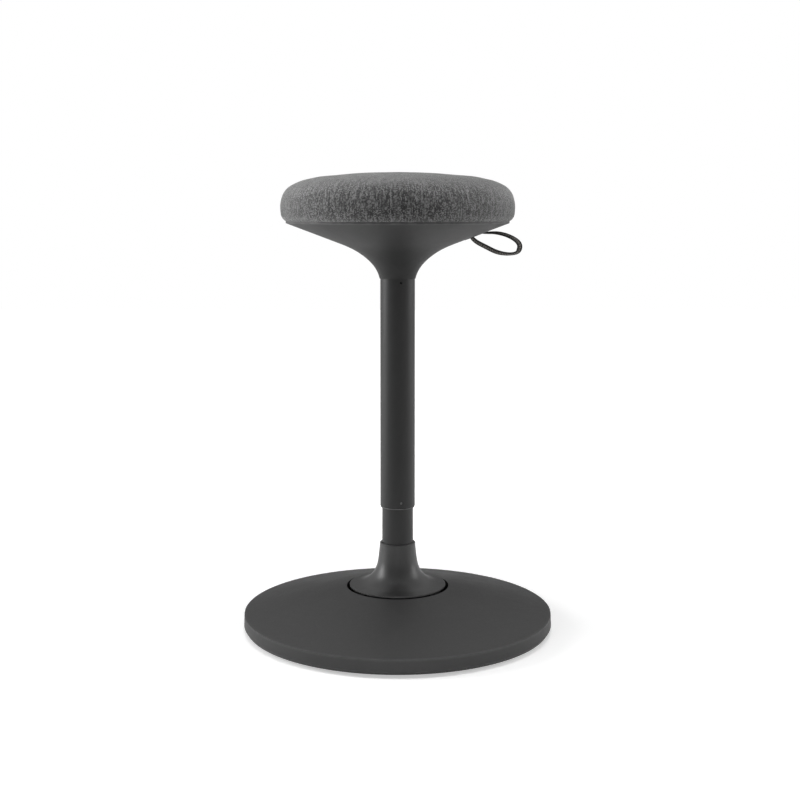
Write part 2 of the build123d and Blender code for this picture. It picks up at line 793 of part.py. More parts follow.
lever_low_z = lever_pivot_z - lever_t / 2
lever_high_z = lever_pivot_z + lever_t / 2
with BuildPart() as release_lever:
    with BuildSketch(Plane.XZ.offset(-lever_w / 2)):
        with BuildLine():
            Polyline(
                (lever_pivot_x, lever_low_z),
                (lever_end_x - lever_t, lever_low_z),
                (lever_end_x - lever_t, lever_foot_z + lever_t),
                (lever_end_x - lever_foot_l, lever_foot_z + lever_t),
                (lever_end_x - lever_foot_l, lever_foot_z),
                (lever_end_x, lever_foot_z),
                (lever_end_x, lever_high_z),
                (lever_pivot_x, lever_high_z),
                close=True,
            )
        make_face()
        with Locations((lever_pivot_x, lever_pivot_z)):
            Circle(lever_eye_r)
            Circle(lever_pin_r + run_gap, mode=Mode.SUBTRACT)
    extrude(amount=lever_w)
release_lever.part.label = "release_lever"
export_step(release_lever.part, "parts/release_lever.step")

clamp_x = lever_end_x - lever_foot_l - clamp_back
clamp_front_x = clamp_x + clamp_l
clamp_step_z = lever_foot_z - clamp_h / 2
clamp_low = (clamp_x, clamp_step_z - clamp_slant_l * sin(radians(clamp_slant)))
clamp_step = (clamp_x + clamp_slant_l * cos(radians(clamp_slant)), clamp_step_z)
with BuildPart() as loop_clamp:
    with BuildSketch(Plane.XZ.offset(-clamp_w / 2)):
        with BuildLine():
            Polyline(
                (clamp_x, lever_foot_z),
                clamp_low,
                clamp_step,
                (clamp_front_x, clamp_step_z),
                (clamp_front_x, lever_foot_z),
                close=True,
            )
        make_face()
    extrude(amount=clamp_w)
loop_clamp.part.label = "loop_clamp"
export_step(loop_clamp.part, "parts/loop_clamp.step")

# Pull loop: the tape leaves the clamp's front, turns round and comes back to the slanted
# face under it.
tape_end = ((clamp_low[0] + clamp_step[0]) / 2, (clamp_low[1] + clamp_step[1]) / 2)
tape_in = 5.0  # the last straight run
tape_last = (
    tape_end[0] + tape_in * sin(radians(clamp_slant)),
    tape_end[1] - tape_in * cos(radians(clamp_slant)),
)
tape_start_z = (clamp_step_z + lever_foot_z) / 2
tape_route = [
    (clamp_front_x, tape_start_z),
    (clamp_front_x + 6.0, tape_start_z),
    (127.5, 565.2),
    (141.0, 565.9),
    (156.0, 565.9),
    (172.0, 557.3),
    (179.3, 548.6),
    (177.4, 537.6),
    (166.3, 534.2),
    (150.0, 535.8),
    (133.5, 544.4),
    (120.0, 551.6),
    (112.2, 556.6),
    tape_last,
    tape_end,
]
route = [Vector(x, 0, z) for x, z in tape_route]
tape_radii = []
for before, here, after in zip(route, route[1:], route[2:]):
    bend = radians((here - before).get_angle(after - here))
    shorter = min((here - before).length, (after - here).length)
    tape_radii.append(0.45 * shorter / tan(bend / 2))
print("pull loop radii", [round(r, 1) for r in tape_radii])
with BuildPart() as pull_loop:
    with BuildLine() as tape_path:
        FilletPolyline(*route, radius=tape_radii)
    with BuildSketch(Plane(origin=route[0], x_dir=(0, 1, 0), z_dir=route[1] - route[0])):
        Rectangle(tape_w, tape_t)
    sweep()
pull_loop.part.label = "pull_loop"
export_step(pull_loop.part, "parts/pull_loop.step")
tape_length = tape_path.wire().length
tape_volume = tape_length * tape_w * tape_t
print("pull loop length", round(tape_length, 1))
print("pull loop volume share", round(pull_loop.part.volume / tape_volume, 3))

# ---------------------------------------------------------------- bowl
bowl_cone_z = bowl_neck_z + bowl_flare_h
bowl_rim_z = board_z - bowl_rim_h
bowl_angle = degrees(atan2(bowl_rim_z - bowl_cone_z, bowl_r - bowl_flare_r))
neck_r = tube_r + bowl_neck_lip
flare = [  # radius past the tube, height over the neck's edge, slope
    (bowl_neck_lip, 0.0, 77.0),
    (8.9, 17.4, 54.0),
    (27.3, 34.7, 34.5),
    (bowl_flare_r - tube_r, bowl_flare_h, bowl_angle),
]
bowl_points = [(tube_r + dr, bowl_neck_z + dz) for dr, dz, _ in flare]
bowl_slopes = [slope for _, _, slope in flare]
bowl_inner = [
    (r - bowl_t * sin(radians(a)), z + bowl_t * cos(radians(a)))
    for (r, z), a in zip(bowl_points, bowl_slopes)
]
bowl_bore = tube_r + press_gap
inner_rim_r = bowl_r - bowl_rim_w
cone_rise = tan(radians(bowl_angle))


def bowl_z(r):
    """Height of the cone's outside at a radius."""
    return bowl_cone_z + (r - bowl_flare_r) * cone_rise


def bowl_inside_z(r):
    """Height of the cone's inside at a radius."""
    return bowl_z(r) + bowl_t / cos(radians(bowl_angle))


slope_dir = (cos(radians(bowl_angle)), 0, sin(radians(bowl_angle)))
slope_up = (-sin(radians(bowl_angle)), 0, cos(radians(bowl_angle)))
slot_plane = Plane(origin=(slot_middle_x, 0, bowl_z(slot_middle_x)), x_dir=slope_dir, z_dir=slope_up)
mount_boss_at = (mount_screw_x**2 + mount_screw_y**2) ** 0.5
clip_at = bowl_r - clip_inset

inner_bore_z = bowl_neck_z + 9.0  # where the bowl's wall leaves the tube
boss_foot_z = bowl_neck_z + 30.0  # under every boss and rib, before the outside trims them


def bowl_curve(points, first_slope):
    """The flare as one smooth curve that runs into the cone."""
    return Spline(
        *points,
        tangents=[
            (cos(radians(first_slope)), sin(radians(first_slope))),
            (cos(radians(bowl_angle)), sin(radians(bowl_angle))),
        ],
    )


with BuildPart() as seat_bowl:
    rib_in = mount_boss_at + boss_r + 10.0
    rib_out = inner_rim_r - 6.0
    for n in range(bowl_rib_count):
        with BuildSketch(Plane.XZ.rotated((0, 0, 360 / bowl_rib_count * (n + 0.5)))):
            with BuildLine():
                Polyline(
                    (rib_in, boss_foot_z),
                    (rib_out, boss_foot_z),
                    (rib_out, board_z - 4.0),
                    (rib_in + 14.0, board_z - 4.0),
                    (rib_in, bowl_inside_z(rib_in) - 1.0),
                    close=True,
                )
            make_face()
        extrude(amount=rib_t / 2, both=True)
    with BuildSketch(Plane.XY.offset(boss_foot_z)):
        with GridLocations(2 * mount_screw_x, 2 * mount_screw_y, 2, 2):
            Circle(boss_r)
    extrude(amount=board_z - channel_t - boss_foot_z)
    with BuildSketch(Plane.XY.offset(boss_foot_z)):
        with PolarLocations(clip_at, clip_count, start_angle=clip_turn):
            Circle(boss_r - 0.5)
    extrude(amount=board_z - boss_foot_z)
    with BuildSketch(Plane.XZ):
        with BuildLine():
            outside = bowl_curve(bowl_points, bowl_slopes[0])
            Polyline(
                outside @ 1,
                (bowl_r, bowl_rim_z),
                (bowl_r, board_z),
                (0, board_z),
                (0, bowl_neck_z),
                outside @ 0,
            )
        make_face()
    revolve(axis=Axis.Z, mode=Mode.INTERSECT)
    with BuildSketch(Plane.XZ):
        with BuildLine():
            outside = bowl_curve(bowl_points, bowl_slopes[0])
            inside = bowl_curve([(bowl_bore, inner_bore_z), *bowl_inner[1:]], 70.0)
            Polyline(
                outside @ 1,
                (bowl_r, bowl_rim_z),
                (bowl_r, board_z),
                (inner_rim_r, board_z),
                (inner_rim_r, bowl_inside_z(inner_rim_r)),
                inside @ 1,
            )
            Polyline(inside @ 0, (bowl_bore, bowl_neck_z), outside @ 0)
        make_face()
    revolve(axis=Axis.Z)
    with BuildSketch(Plane.XY.offset(board_z - channel_t)):
        with GridLocations(2 * mount_screw_x, 2 * mount_screw_y, 2, 2):
            Circle(mount_screw_r + thread_gap)
    extrude(amount=-mount_screw_depth, mode=Mode.SUBTRACT)
    with BuildSketch(Plane.XY.offset(board_z)):
        with PolarLocations(clip_at, clip_count, start_angle=clip_turn):
            Circle(clip_stem_r + clip_gap)
    extrude(amount=-clip_drop - 0.5, mode=Mode.SUBTRACT)
    with BuildSketch(slot_plane.offset(-2.0)):
        SlotOverall(slot_l + 2 * grommet_t, slot_w + 2 * grommet_t)
    extrude(amount=bowl_t + 6.0, mode=Mode.SUBTRACT)
seat_bowl.part.label = "seat_bowl"
export_step(seat_bowl.part, "parts/seat_bowl.step")

with BuildPart() as loop_grommet:
    grommet_fit = 0.1
    grommet_seat = 0.25  # under the lip, because the cone curves up beside it
    with BuildSketch(slot_plane.offset(-0.4)):
        SlotOverall(slot_l + 2 * grommet_t - grommet_fit, slot_w + 2 * grommet_t - grommet_fit)
    extrude(amount=bowl_t + 0.5)
    with BuildSketch(slot_plane.offset(bowl_t + grommet_seat)):
        SlotOverall(slot_l + 2 * grommet_lip, slot_w + 2 * grommet_lip + 1.0)
    extrude(amount=1.0)
    with BuildSketch(slot_plane.offset(-1.0)):
        SlotOverall(slot_l, slot_w)
    extrude(amount=bowl_t + 4.0, mode=Mode.SUBTRACT)
loop_grommet.part.label = "loop_grommet"
export_step(loop_grommet.part, "parts/loop_grommet.step")

with BuildPart() as mount_screws:
    with BuildSketch(Plane.XY.offset(board_z)):
        with GridLocations(2 * mount_screw_x, 2 * mount_screw_y, 2, 2):
            Circle(mount_head_r)
    extrude(amount=mount_head_h)
    chamfer(mount_screws.faces().filter_by(Axis.Z).group_by(Axis.Z)[-1].edges(), 1.0)
    with BuildSketch(Plane.XY.offset(board_z + mount_head_h / 2)):
        with GridLocations(2 * mount_screw_x, 2 * mount_screw_y, 2, 2):
            Circle(mount_screw_r)
    extrude(amount=-mount_head_h / 2 - channel_t - mount_screw_depth + 1.0)
mount_screws.part.label = "mount_screws"
export_step(mount_screws.part, "parts/mount_screws.step")

# ---------------------------------------------------------------- pad
board_r = bowl_r - board_inset
with BuildPart() as seat_board:
    with BuildSketch(Plane.XY.offset(board_z)):
        Circle(board_r)
    extrude(amount=board_t)
    chamfer(seat_board.edges().filter_by(GeomType.CIRCLE).sort_by(Axis.Z)[-1], 2.0)
    with BuildSketch(Plane.XY.offset(board_z)):
        with GridLocations(2 * mount_screw_x, 2 * mount_screw_y, 2, 2):
            Circle(mount_head_r + 0.8)
    extrude(amount=mount_head_h + 0.5, mode=Mode.SUBTRACT)
    with BuildSketch(Plane.XY.offset(board_z)):
        with PolarLocations(clip_at, clip_count, start_angle=clip_turn):
            Circle(clip_head_r + press_gap)
    extrude(amount=clip_head_t + press_gap, mode=Mode.SUBTRACT)
seat_board.part.label = "seat_board"
export_step(seat_board.part, "parts/seat_board.step")

with BuildPart() as pad_clips:
    with BuildSketch(Plane.XY.offset(board_z)):
        with PolarLocations(clip_at, clip_count, start_angle=clip_turn):
            Circle(clip_head_r)
    extrude(amount=clip_head_t)
    for low, radius in ((-clip_drop, 0.7), (-clip_drop * 0.7, 1.0), (-clip_drop * 0.35, 1.0)):
        with BuildSketch(Plane.XY.offset(board_z + low)):
            with PolarLocations(clip_at, clip_count, start_angle=clip_turn):
                Circle(clip_stem_r * radius)
        extrude(amount=1.2)
    with BuildSketch(Plane.XY.offset(board_z - clip_drop)):
        with PolarLocations(clip_at, clip_count, start_angle=clip_turn):
            Circle(clip_stem_r * 0.65)
    extrude(amount=clip_drop + clip_head_t / 2)
pad_clips.part.label = "pad_clips"
export_step(pad_clips.part, "parts/pad_clips.step")

pad_bottom_z = board_z + soft_gap
pad_top_z = board_z + pad_h
pad_widest_z = board_z + pad_h * pad_widest_share
pad_r = bowl_r + pad_overhang
crown_r = pad_r - pad_crown_in
crown_sphere_r = (crown_r**2 + pad_crown_h**2) / (2 * pad_crown_h)
crown_half = asin(crown_r / crown_sphere_r)
pad_outline_points = [  # radius, height, and the angle that the surface faces
    (bowl_r, pad_bottom_z, 0.0),
    (pad_r - 2.0, pad_bottom_z + (pad_widest_z - pad_bottom_z) / 3, -20.0),
    (pad_r, pad_widest_z, 0.0),
    (pad_r - pad_shoulder_in, pad_top_z - pad_h * pad_shoulder_share, 38.0),
    (crown_r, pad_top_z - pad_crown_h, 90.0 - degrees(crown_half)),
    (
        crown_sphere_r * sin(crown_half / 2),
        pad_top_z - crown_sphere_r * (1 - cos(crown_half / 2)),
        90.0 - degrees(crown_half / 2),
    ),
    (0.0, pad_top_z, 90.0),
]


def pad_outline(inset):
    """Three arcs, side, shoulder and crown, of the pad's half outline moved in by an inset."""
    points = [
        (r - inset * cos(radians(a)), z - inset * sin(radians(a)))
        for r, z, a in pad_outline_points
    ]
    side = ThreePointArc(*points[0:3])
    ThreePointArc(*points[2:5])
    crown = ThreePointArc(*points[4:7])
    return side @ 0, crown @ 1


with BuildPart() as seat_cover:
    with BuildSketch(Plane.XZ):
        with BuildLine():
            hem, top = pad_outline(0)
            inner_hem, inner_top = pad_outline(cover_cloth_t)
            Line(hem, inner_hem)
            Line(top, inner_top)
        make_face()
    revolve(axis=Axis.Z)
seat_cover.part.label = "seat_cover"
export_step(seat_cover.part, "parts/seat_cover.step")

with BuildPart() as seat_foam:
    with BuildSketch(Plane.XZ):
        with BuildLine():
            hem, top = pad_outline(cover_cloth_t + soft_gap)
            Polyline(
                hem,
                (board_r + soft_gap / 2, pad_bottom_z),
                (board_r + soft_gap / 2, board_z + board_t + soft_gap),
                (0, board_z + board_t + soft_gap),
                top,
            )
        make_face()
    revolve(axis=Axis.Z)
seat_foam.part.label = "seat_foam"
export_step(seat_foam.part, "parts/seat_foam.step")
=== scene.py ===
# %% [markdown]
# # A leaning stool on a swivelling gas lift
#
# The real stool is a round padded seat on a trumpet-shaped plastic bowl. A steel tube under
# the bowl slides over a thinner column, and the column stands in a heavy disc base that it
# can lean in. A loop of woven tape under the seat works the gas valve.
#
# The hard parts arrive ready made, in the right place and size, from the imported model. This
# lesson gives them their finishes, and makes the two soft things by hand: the cushion and
# the pull loop.

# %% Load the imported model
import math

import bmesh
import bpy
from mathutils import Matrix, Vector, noise


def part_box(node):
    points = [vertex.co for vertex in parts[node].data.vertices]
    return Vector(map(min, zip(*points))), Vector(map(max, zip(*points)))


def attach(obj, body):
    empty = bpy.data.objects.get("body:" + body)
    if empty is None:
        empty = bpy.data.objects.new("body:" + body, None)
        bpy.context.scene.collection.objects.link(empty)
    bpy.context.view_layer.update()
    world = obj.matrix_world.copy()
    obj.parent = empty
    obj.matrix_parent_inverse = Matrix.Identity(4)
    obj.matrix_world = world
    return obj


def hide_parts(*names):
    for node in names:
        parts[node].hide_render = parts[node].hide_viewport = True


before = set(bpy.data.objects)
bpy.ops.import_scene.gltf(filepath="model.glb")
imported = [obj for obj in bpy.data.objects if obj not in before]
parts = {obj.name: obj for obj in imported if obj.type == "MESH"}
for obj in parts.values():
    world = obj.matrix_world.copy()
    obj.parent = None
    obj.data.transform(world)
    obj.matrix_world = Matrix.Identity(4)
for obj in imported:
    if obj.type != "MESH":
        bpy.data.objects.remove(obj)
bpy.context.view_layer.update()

scene = bpy.context.scene

# %% [markdown]
# ## Camera
#
# A product picture of a tall thing is taken level, so that the column stays upright, and the
# lens is shifted down to bring the base into view. Turning the camera down would be simpler,
# but it would make the column lean together at the foot. So the camera looks straight along
# +Y at a little below seat height, and only its shift moves the view.

# %% Place the camera
camera_height = 0.600
camera_distance = 1.918
camera_data = bpy.data.cameras.new("studio_camera")
camera_data.sensor_width = 36.0
camera_data.lens = 59.8
camera_data.shift_x = 0.0030
camera_data.shift_y = -0.2382
camera_data.dof.use_dof = False
camera = bpy.data.objects.new("studio_camera", camera_data)
camera.location = (0, -camera_distance, camera_height)
camera.rotation_euler = (math.radians(90), 0, 0)
scene.collection.objects.link(camera)
scene.camera = camera
print("camera", camera_distance, "m away and", camera_height, "m up")

# %% [markdown]
# ## Light
#
# The stool is lit like most furniture: a large soft lamp on each side, the left one about
# twice as strong, and one overhead, with nothing bright beside the camera. That is why every
# round part is darkest down its middle and lighter towards both edges. One weak, narrow lamp
# lies low in front, and only lifts the upright rim of the base. Area lamps do this well,
# because their size sets how soft the shading and the highlights are.


# %% Hang the lamps
def soft_lamp(name, place, target, width, height, watts, spread=180, mirrored=True):
    """A rectangular studio lamp at a place, facing a target."""
    lamp = bpy.data.lights.new(name, "AREA")
    lamp.shape = "RECTANGLE"
    lamp.size = width
    lamp.size_y = height
    lamp.energy = watts
    lamp.spread = math.radians(spread)
    hung = bpy.data.objects.new(name, lamp)
    hung.location = place
    hung.rotation_euler = (Vector(target) - Vector(place)).to_track_quat("-Z", "Y").to_euler()
    hung.visible_glossy = mirrored
    scene.collection.objects.link(hung)
    print(name, watts, "W")


soft_lamp("lamp_left", (-2.1, 0.15, 0.95), (0, 0, 0.35), 0.9, 1.5, 29)
soft_lamp("lamp_right", (2.2, 0.25, 0.95), (0, 0, 0.35), 0.9, 1.5, 13)
soft_lamp("lamp_above", (0, -0.2, 2.7), (0, 0, 0.35), 1.2, 0.9, 31)
soft_lamp("lamp_low", (0, -1.1, 0.06), (0, 0, 0.04), 0.9, 0.1, 0.5, spread=24, mirrored=False)

# %% [markdown]
# ## Room
#
# The room only has to give a little light from all round and a white background. A world
# shader can tell rays apart: what the camera sees, and what glossy paint and metal mirror,
# is the white studio, while the light that falls on the stool stays a plain soft grey. In
# what is mirrored, the side that the camera stands on is nearly dark, as in a real studio
# with the lights off there, and so is a small patch straight behind the stool.


# %% Helpers for building node trees
def add(tree, kind, inputs=None, **settings):
    """Adds a node to a tree, sets its properties, and sets or links its inputs."""
    made = tree.nodes.new(kind)
    for key, value in settings.items():
        setattr(made, key, value)
    for key, value in (inputs or {}).items():
        if isinstance(value, bpy.types.NodeSocket):
            tree.links.new(value, made.inputs[key])
        else:
            made.inputs[key].default_value = value
    return made


def calc(tree, operation, first, second=0.0, third=0.0):
    """One step of arithmetic: returns the socket that holds its result."""
    made = add(tree, "ShaderNodeMath", operation=operation)
    for socket, value in zip(made.inputs, (first, second, third)):
        if isinstance(value, bpy.types.NodeSocket):
            tree.links.new(value, socket)
        else:
            socket.default_value = value
    return made.outputs[0]


def remap(tree, value, low, high, to_low=0.0, to_high=1.0):
    """Moves a value from one range into another, and holds it there."""
    return add(
        tree,
        "ShaderNodeMapRange",
        {0: value, 1: low, 2: high, 3: to_low, 4: to_high},
    ).outputs[0]


def grey(level, warm=0.0):
    """A colour from how light it looks, 0 to 1, and how warm it is."""
    linear = level**2.2
    return (linear * (1 + warm), linear, linear * (1 - warm), 1.0)


# %% Paint the room
world = bpy.data.worlds.new("studio_room")
world.use_nodes = True
scene.world = world
room = world.node_tree
room.nodes.clear()
direction = add(room, "ShaderNodeTexCoord").outputs["Generated"]
towards = add(room, "ShaderNodeSeparateXYZ", {0: direction}).outputs["Y"]
dark_end, bright_end, soft_grey = 0.06, 0.8, 0.22
mirrored = remap(room, towards, -0.9, 0.1, dark_end, bright_end)
straight_behind = remap(room, towards, 0.75, 0.98, 1.0, 0.2)
mirrored = calc(room, "MULTIPLY", mirrored, straight_behind)
rays = add(room, "ShaderNodeLightPath")
shiny = calc(room, "MAXIMUM", rays.outputs["Is Glossy Ray"], rays.outputs["Is Transmission Ray"])
strength = calc(room, "MULTIPLY", shiny, mirrored)
strength = calc(room, "MAXIMUM", strength, rays.outputs["Is Camera Ray"])
strength = calc(room, "MAXIMUM", strength, soft_grey)
sky = add(room, "ShaderNodeBackground", {"Color": (1, 1, 1, 1), "Strength": strength})
add(room, "ShaderNodeOutputWorld", {"Surface": sky.outputs[0]})
scene.view_settings.view_transform = "Standard"
print("room painted")

# %% [markdown]
# ## Floor
#
# A sweep of white paper. It has to look white and still keep the stool's soft shadow, so the
# camera sees a glow added to it: the lit paper reaches white, and the shadow under the rim
# stays a pale grey. The glow grows with the distance from the stool, because the lamps don't
# reach the far end of the paper. Glossy surfaces mirror about half of the glow, and nothing
# is lit by it.

# %% Lay the floor
floor_mesh = bpy.data.meshes.new("floor")
half = 6.0
corners = [(-half, -half, 0), (half, -half, 0), (half, half, 0), (-half, half, 0)]
floor_mesh.from_pydata(corners, [], [(0, 1, 2, 3)])
floor = bpy.data.objects.new("floor", floor_mesh)
scene.collection.objects.link(floor)
print("floor", 2 * half, "m wide")

# %% Paint the paper
paper = bpy.data.materials.new("paper_sweep")
paper.use_nodes = True
sweep = paper.node_tree
sweep.nodes.clear()
mirrored_share = 0.55
near_glow, far_glow = 0.42, 1.0
rays = add(sweep, "ShaderNodeLightPath")
dimmed = calc(sweep, "MULTIPLY", rays.outputs["Is Glossy Ray"], mirrored_share)
seen = calc(sweep, "MAXIMUM", rays.outputs["Is Camera Ray"], dimmed)
place = add(sweep, "ShaderNodeTexCoord").outputs["Object"]
from_stool = add(sweep, "ShaderNodeVectorMath", {0: place}, operation="LENGTH").outputs["Value"]
growth = remap(sweep, from_stool, 0.3, 0.9, near_glow, far_glow)
lit = add(sweep, "ShaderNodeBsdfDiffuse", {"Color": (0.82, 0.82, 0.82, 1)})
glow = add(sweep, "ShaderNodeEmission", {"Strength": calc(sweep, "MULTIPLY", seen, growth)})
both = add(sweep, "ShaderNodeAddShader", {0: lit.outputs[0], 1: glow.outputs[0]})
add(sweep, "ShaderNodeOutputMaterial", {"Surface": both.outputs[0]})
floor_mesh.materials.append(paper)
print("paper painted:", paper.name)

# %% [markdown]
# ## What the finishes share
#
# Powder coat and moulded plastic look flat in a render when they are one even colour. Three
# effects fix that: a fine grain that roughens the surface, a faint unevenness of tone as from
# handling and dust, and a painted highlight that lightens a round edge. They read Object
# coordinates, which are metres here, so their sizes are real sizes. A fourth effect is the over and
# under of
# crossing threads, for the cloth and the tape. Several materials use each of them, so each
# is a node group.


# %% Start a shared effect
def effect(name, inputs, outputs):
    """A new shader node group with named sockets, and its two end nodes."""
    group = bpy.data.node_groups.new(name, "ShaderNodeTree")
    for socket, kind, value in inputs:
        made = group.interface.new_socket(socket, in_out="INPUT", socket_type=kind)
        made.default_value = value
    for socket, kind in outputs:
        group.interface.new_socket(socket, in_out="OUTPUT", socket_type=kind)
    return group, add(group, "NodeGroupInput"), add(group, "NodeGroupOutput")


FLOAT = "NodeSocketFloat"
COLOUR = "NodeSocketColor"
VECTOR = "NodeSocketVector"

# %% Fine grain
grain, given, result = effect(
    "fine grain", [("Cells per metre", FLOAT, 1500.0)], [("Height", FLOAT), ("Speck", FLOAT)]
)
place = add(grain, "ShaderNodeTexCoord").outputs["Object"]
per_metre = given.outputs["Cells per metre"]
bumps = add(
    grain,
    "ShaderNodeTexNoise",
    {"Vector": place, "Scale": per_metre, "Detail": 2.0, "Roughness": 0.6},
)
coarse = calc(grain, "MULTIPLY", per_metre, 0.31)
patches = add(grain, "ShaderNodeTexNoise", {"Vector": place, "Scale": coarse, "Detail": 1.0})
grain.links.new(bumps.outputs[0], result.inputs[0])
grain.links.new(remap(grain, patches.outputs[0], 0.35, 0.7), result.inputs[1])
print("effect made:", grain.name)

# %% Uneven tone
tone, given, result = effect(
    "uneven tone",
    [("Colour", COLOUR, (0.1, 0.1, 0.1, 1)), ("Amount", FLOAT, 0.15), ("Patch size", FLOAT, 0.05)],
    [("Colour", COLOUR), ("Smudge", FLOAT)],
)
place = add(tone, "ShaderNodeTexCoord").outputs["Object"]
per_metre = calc(tone, "DIVIDE", 1.0, given.outputs["Patch size"])
clouds = add(
    tone,
    "ShaderNodeTexNoise",
    {"Vector": place, "Scale": per_metre, "Detail": 4.0, "Roughness": 0.65},
).outputs[0]
dust = add(tone, "ShaderNodeTexNoise", {"Vector": place, "Scale": 900.0, "Detail": 1.0}).outputs[0]
dust = remap(tone, dust, 0.66, 0.78, 0.0, 0.5)
smudge = remap(tone, clouds, 0.32, 0.68)
lift = calc(tone, "MULTIPLY_ADD", smudge, 2.0, -1.0)
lift = calc(tone, "ADD", lift, dust)
lift = calc(tone, "MULTIPLY_ADD", lift, given.outputs["Amount"], 1.0)
scaled = add(
    tone,
    "ShaderNodeVectorMath",
    {0: given.outputs["Colour"], "Scale": lift},
    operation="SCALE",
)
tone.links.new(scaled.outputs[0], result.inputs[0])
tone.links.new(smudge, result.inputs[1])
print("effect made:", tone.name)


# %% Painted highlight on a round edge
def hypotenuse(tree, first, second):
    """The long side of a right-angled triangle, from its two short ones."""
    squares = [calc(tree, "MULTIPLY", side, side) for side in (first, second)]
    return calc(tree, "SQRT", calc(tree, "ADD", *squares))


# A ring-shaped mask round a rim, broken by noise, where a painted highlight lightens the rounded
# edge.
edge_highlight, given, result = effect(
    "painted edge highlight",
    [("Radius", FLOAT, 0.1), ("Height", FLOAT, 0.1), ("Width", FLOAT, 0.002)],
    [("Mask", FLOAT)],
)
place = add(edge_highlight, "ShaderNodeTexCoord").outputs["Object"]
axes = add(edge_highlight, "ShaderNodeSeparateXYZ", {0: place}).outputs
out = hypotenuse(edge_highlight, axes[0], axes[1])
aside = calc(edge_highlight, "SUBTRACT", out, given.outputs["Radius"])
above = calc(edge_highlight, "SUBTRACT", axes[2], given.outputs["Height"])
away = calc(edge_highlight, "DIVIDE", hypotenuse(edge_highlight, aside, above), given.outputs["Width"])
near = remap(edge_highlight, away, 0.2, 1.0, 1.0, 0.0)
breaks = add(edge_highlight, "ShaderNodeTexNoise", {"Vector": place, "Scale": 90.0, "Detail": 3.0})
broken = remap(edge_highlight, breaks.outputs[0], 0.4, 0.62, 0.7, 1.0)
edge_highlight.links.new(calc(edge_highlight, "MULTIPLY", near, broken), result.inputs[0])
print("effect made:", edge_highlight.name)

# %% Threads that cross
threads, given, result = effect(
    "crossing threads",
    [("Cloth", VECTOR, (0, 0, 0)), ("Warp pitch", FLOAT, 0.001), ("Weft pitch", FLOAT, 0.001)],
    [("Height", FLOAT)],
)


def thread_round(pitches):
    """The round back of the threads: 0 between two threads and 1 on top of one."""
    wave = calc(threads, "SINE", calc(threads, "MULTIPLY", pitches, math.pi))
    return calc(threads, "ABSOLUTE", wave)


across = add(threads, "ShaderNodeSeparateXYZ", {0: given.outputs["Cloth"]}).outputs
warp = calc(threads, "DIVIDE", across[0], given.outputs["Warp pitch"])
weft = calc(threads, "DIVIDE", across[1], given.outputs["Weft pitch"])
half_up = 0.5  # keeps the flat pattern clear of the border between two layers of cells
cells = add(threads, "ShaderNodeCombineXYZ", {0: warp, 1: weft, 2: half_up}).outputs[0]
checks = add(threads, "ShaderNodeTexChecker", {"Vector": cells, "Scale": 1.0}).outputs["Fac"]
height = add(
    threads,
    "ShaderNodeMix",
    {0: checks, 2: thread_round(weft), 3: thread_round(warp)},
    data_type="FLOAT",
).outputs[0]
threads.links.new(height, result.inputs[0])
print("effect made:", threads.name)

# %% [markdown]
# ## Coated and moulded finishes
#
# Nearly all the hard parts are either powder-coated steel or moulded plastic, in greys that
# differ by a shade. One recipe makes them all: an uneven tone feeds the base colour and the
# roughness, and the fine grain feeds a bump. The grain is what tells them apart: powder coat
# has a soft skin about a millimetre across, and moulded plastic a much finer tooth. Where a
# part has a rim, the recipe can also lighten it: a painted highlight along the rounded edge.


# %% The coated finish
def coated(
    name, level, rough, cells, depth, metal=0.0, patch=0.05, edge=None, highlight_lift=1.35, sheen=0.5
):
    """A coated or moulded surface. An edge is a rim's radius, height and width, for a painted
    highlight.
    """
    material = bpy.data.materials.new(name)
    material.use_nodes = True
    tree = material.node_tree
    tree.nodes.clear()
    handled = {"Colour": grey(level), "Amount": 0.10, "Patch size": patch}
    shades = add(tree, "ShaderNodeGroup", handled, node_tree=tone)
    colour = shades.outputs["Colour"]
    if edge:
        ring = dict(zip(("Radius", "Height", "Width"), edge))
        rim = add(tree, "ShaderNodeGroup", ring, node_tree=edge_highlight)
        # Lightens the rim towards a paler grey: a painted highlight along the rounded edge.
        highlight_share = calc(tree, "MULTIPLY", rim.outputs["Mask"], 0.6)
        highlighted = add(
            tree,
            "ShaderNodeMix",
            {0: highlight_share, 6: colour, 7: grey(level * highlight_lift)},
            data_type="RGBA",
        )
        colour = highlighted.outputs[2]
    tooth = add(tree, "ShaderNodeGroup", {"Cells per metre": cells}, node_tree=grain)
    bump = add(
        tree,
        "ShaderNodeBump",
        {"Height": tooth.outputs["Height"], "Strength": 0.35, "Distance": depth},
    )
    roughness = remap(tree, shades.outputs["Smudge"], 0.0, 1.0, rough - 0.04, rough + 0.05)
    roughness = calc(tree, "MULTIPLY_ADD", tooth.outputs["Speck"], 0.04, roughness)
    surface = add(
        tree,
        "ShaderNodeBsdfPrincipled",
        {
            "Base Color": colour,
            "Metallic": metal,
            "Roughness": roughness,
            "Specular IOR Level": sheen,
            "Normal": bump.outputs[0],
        },
    )
    add(tree, "ShaderNodeOutputMaterial", {"Surface": surface.outputs[0]})
    return material


painted = set()


def paint(material, *names):
    """Puts a finish on parts of the model."""
    for name in names:
        part = parts[name]
        if not part.material_slots:
            part.data.materials.append(None)
        for slot in part.material_slots:
            slot.link = "OBJECT"
            slot.material = material
        painted.add(name)
    print(material.name, "on", ", ".join(names))
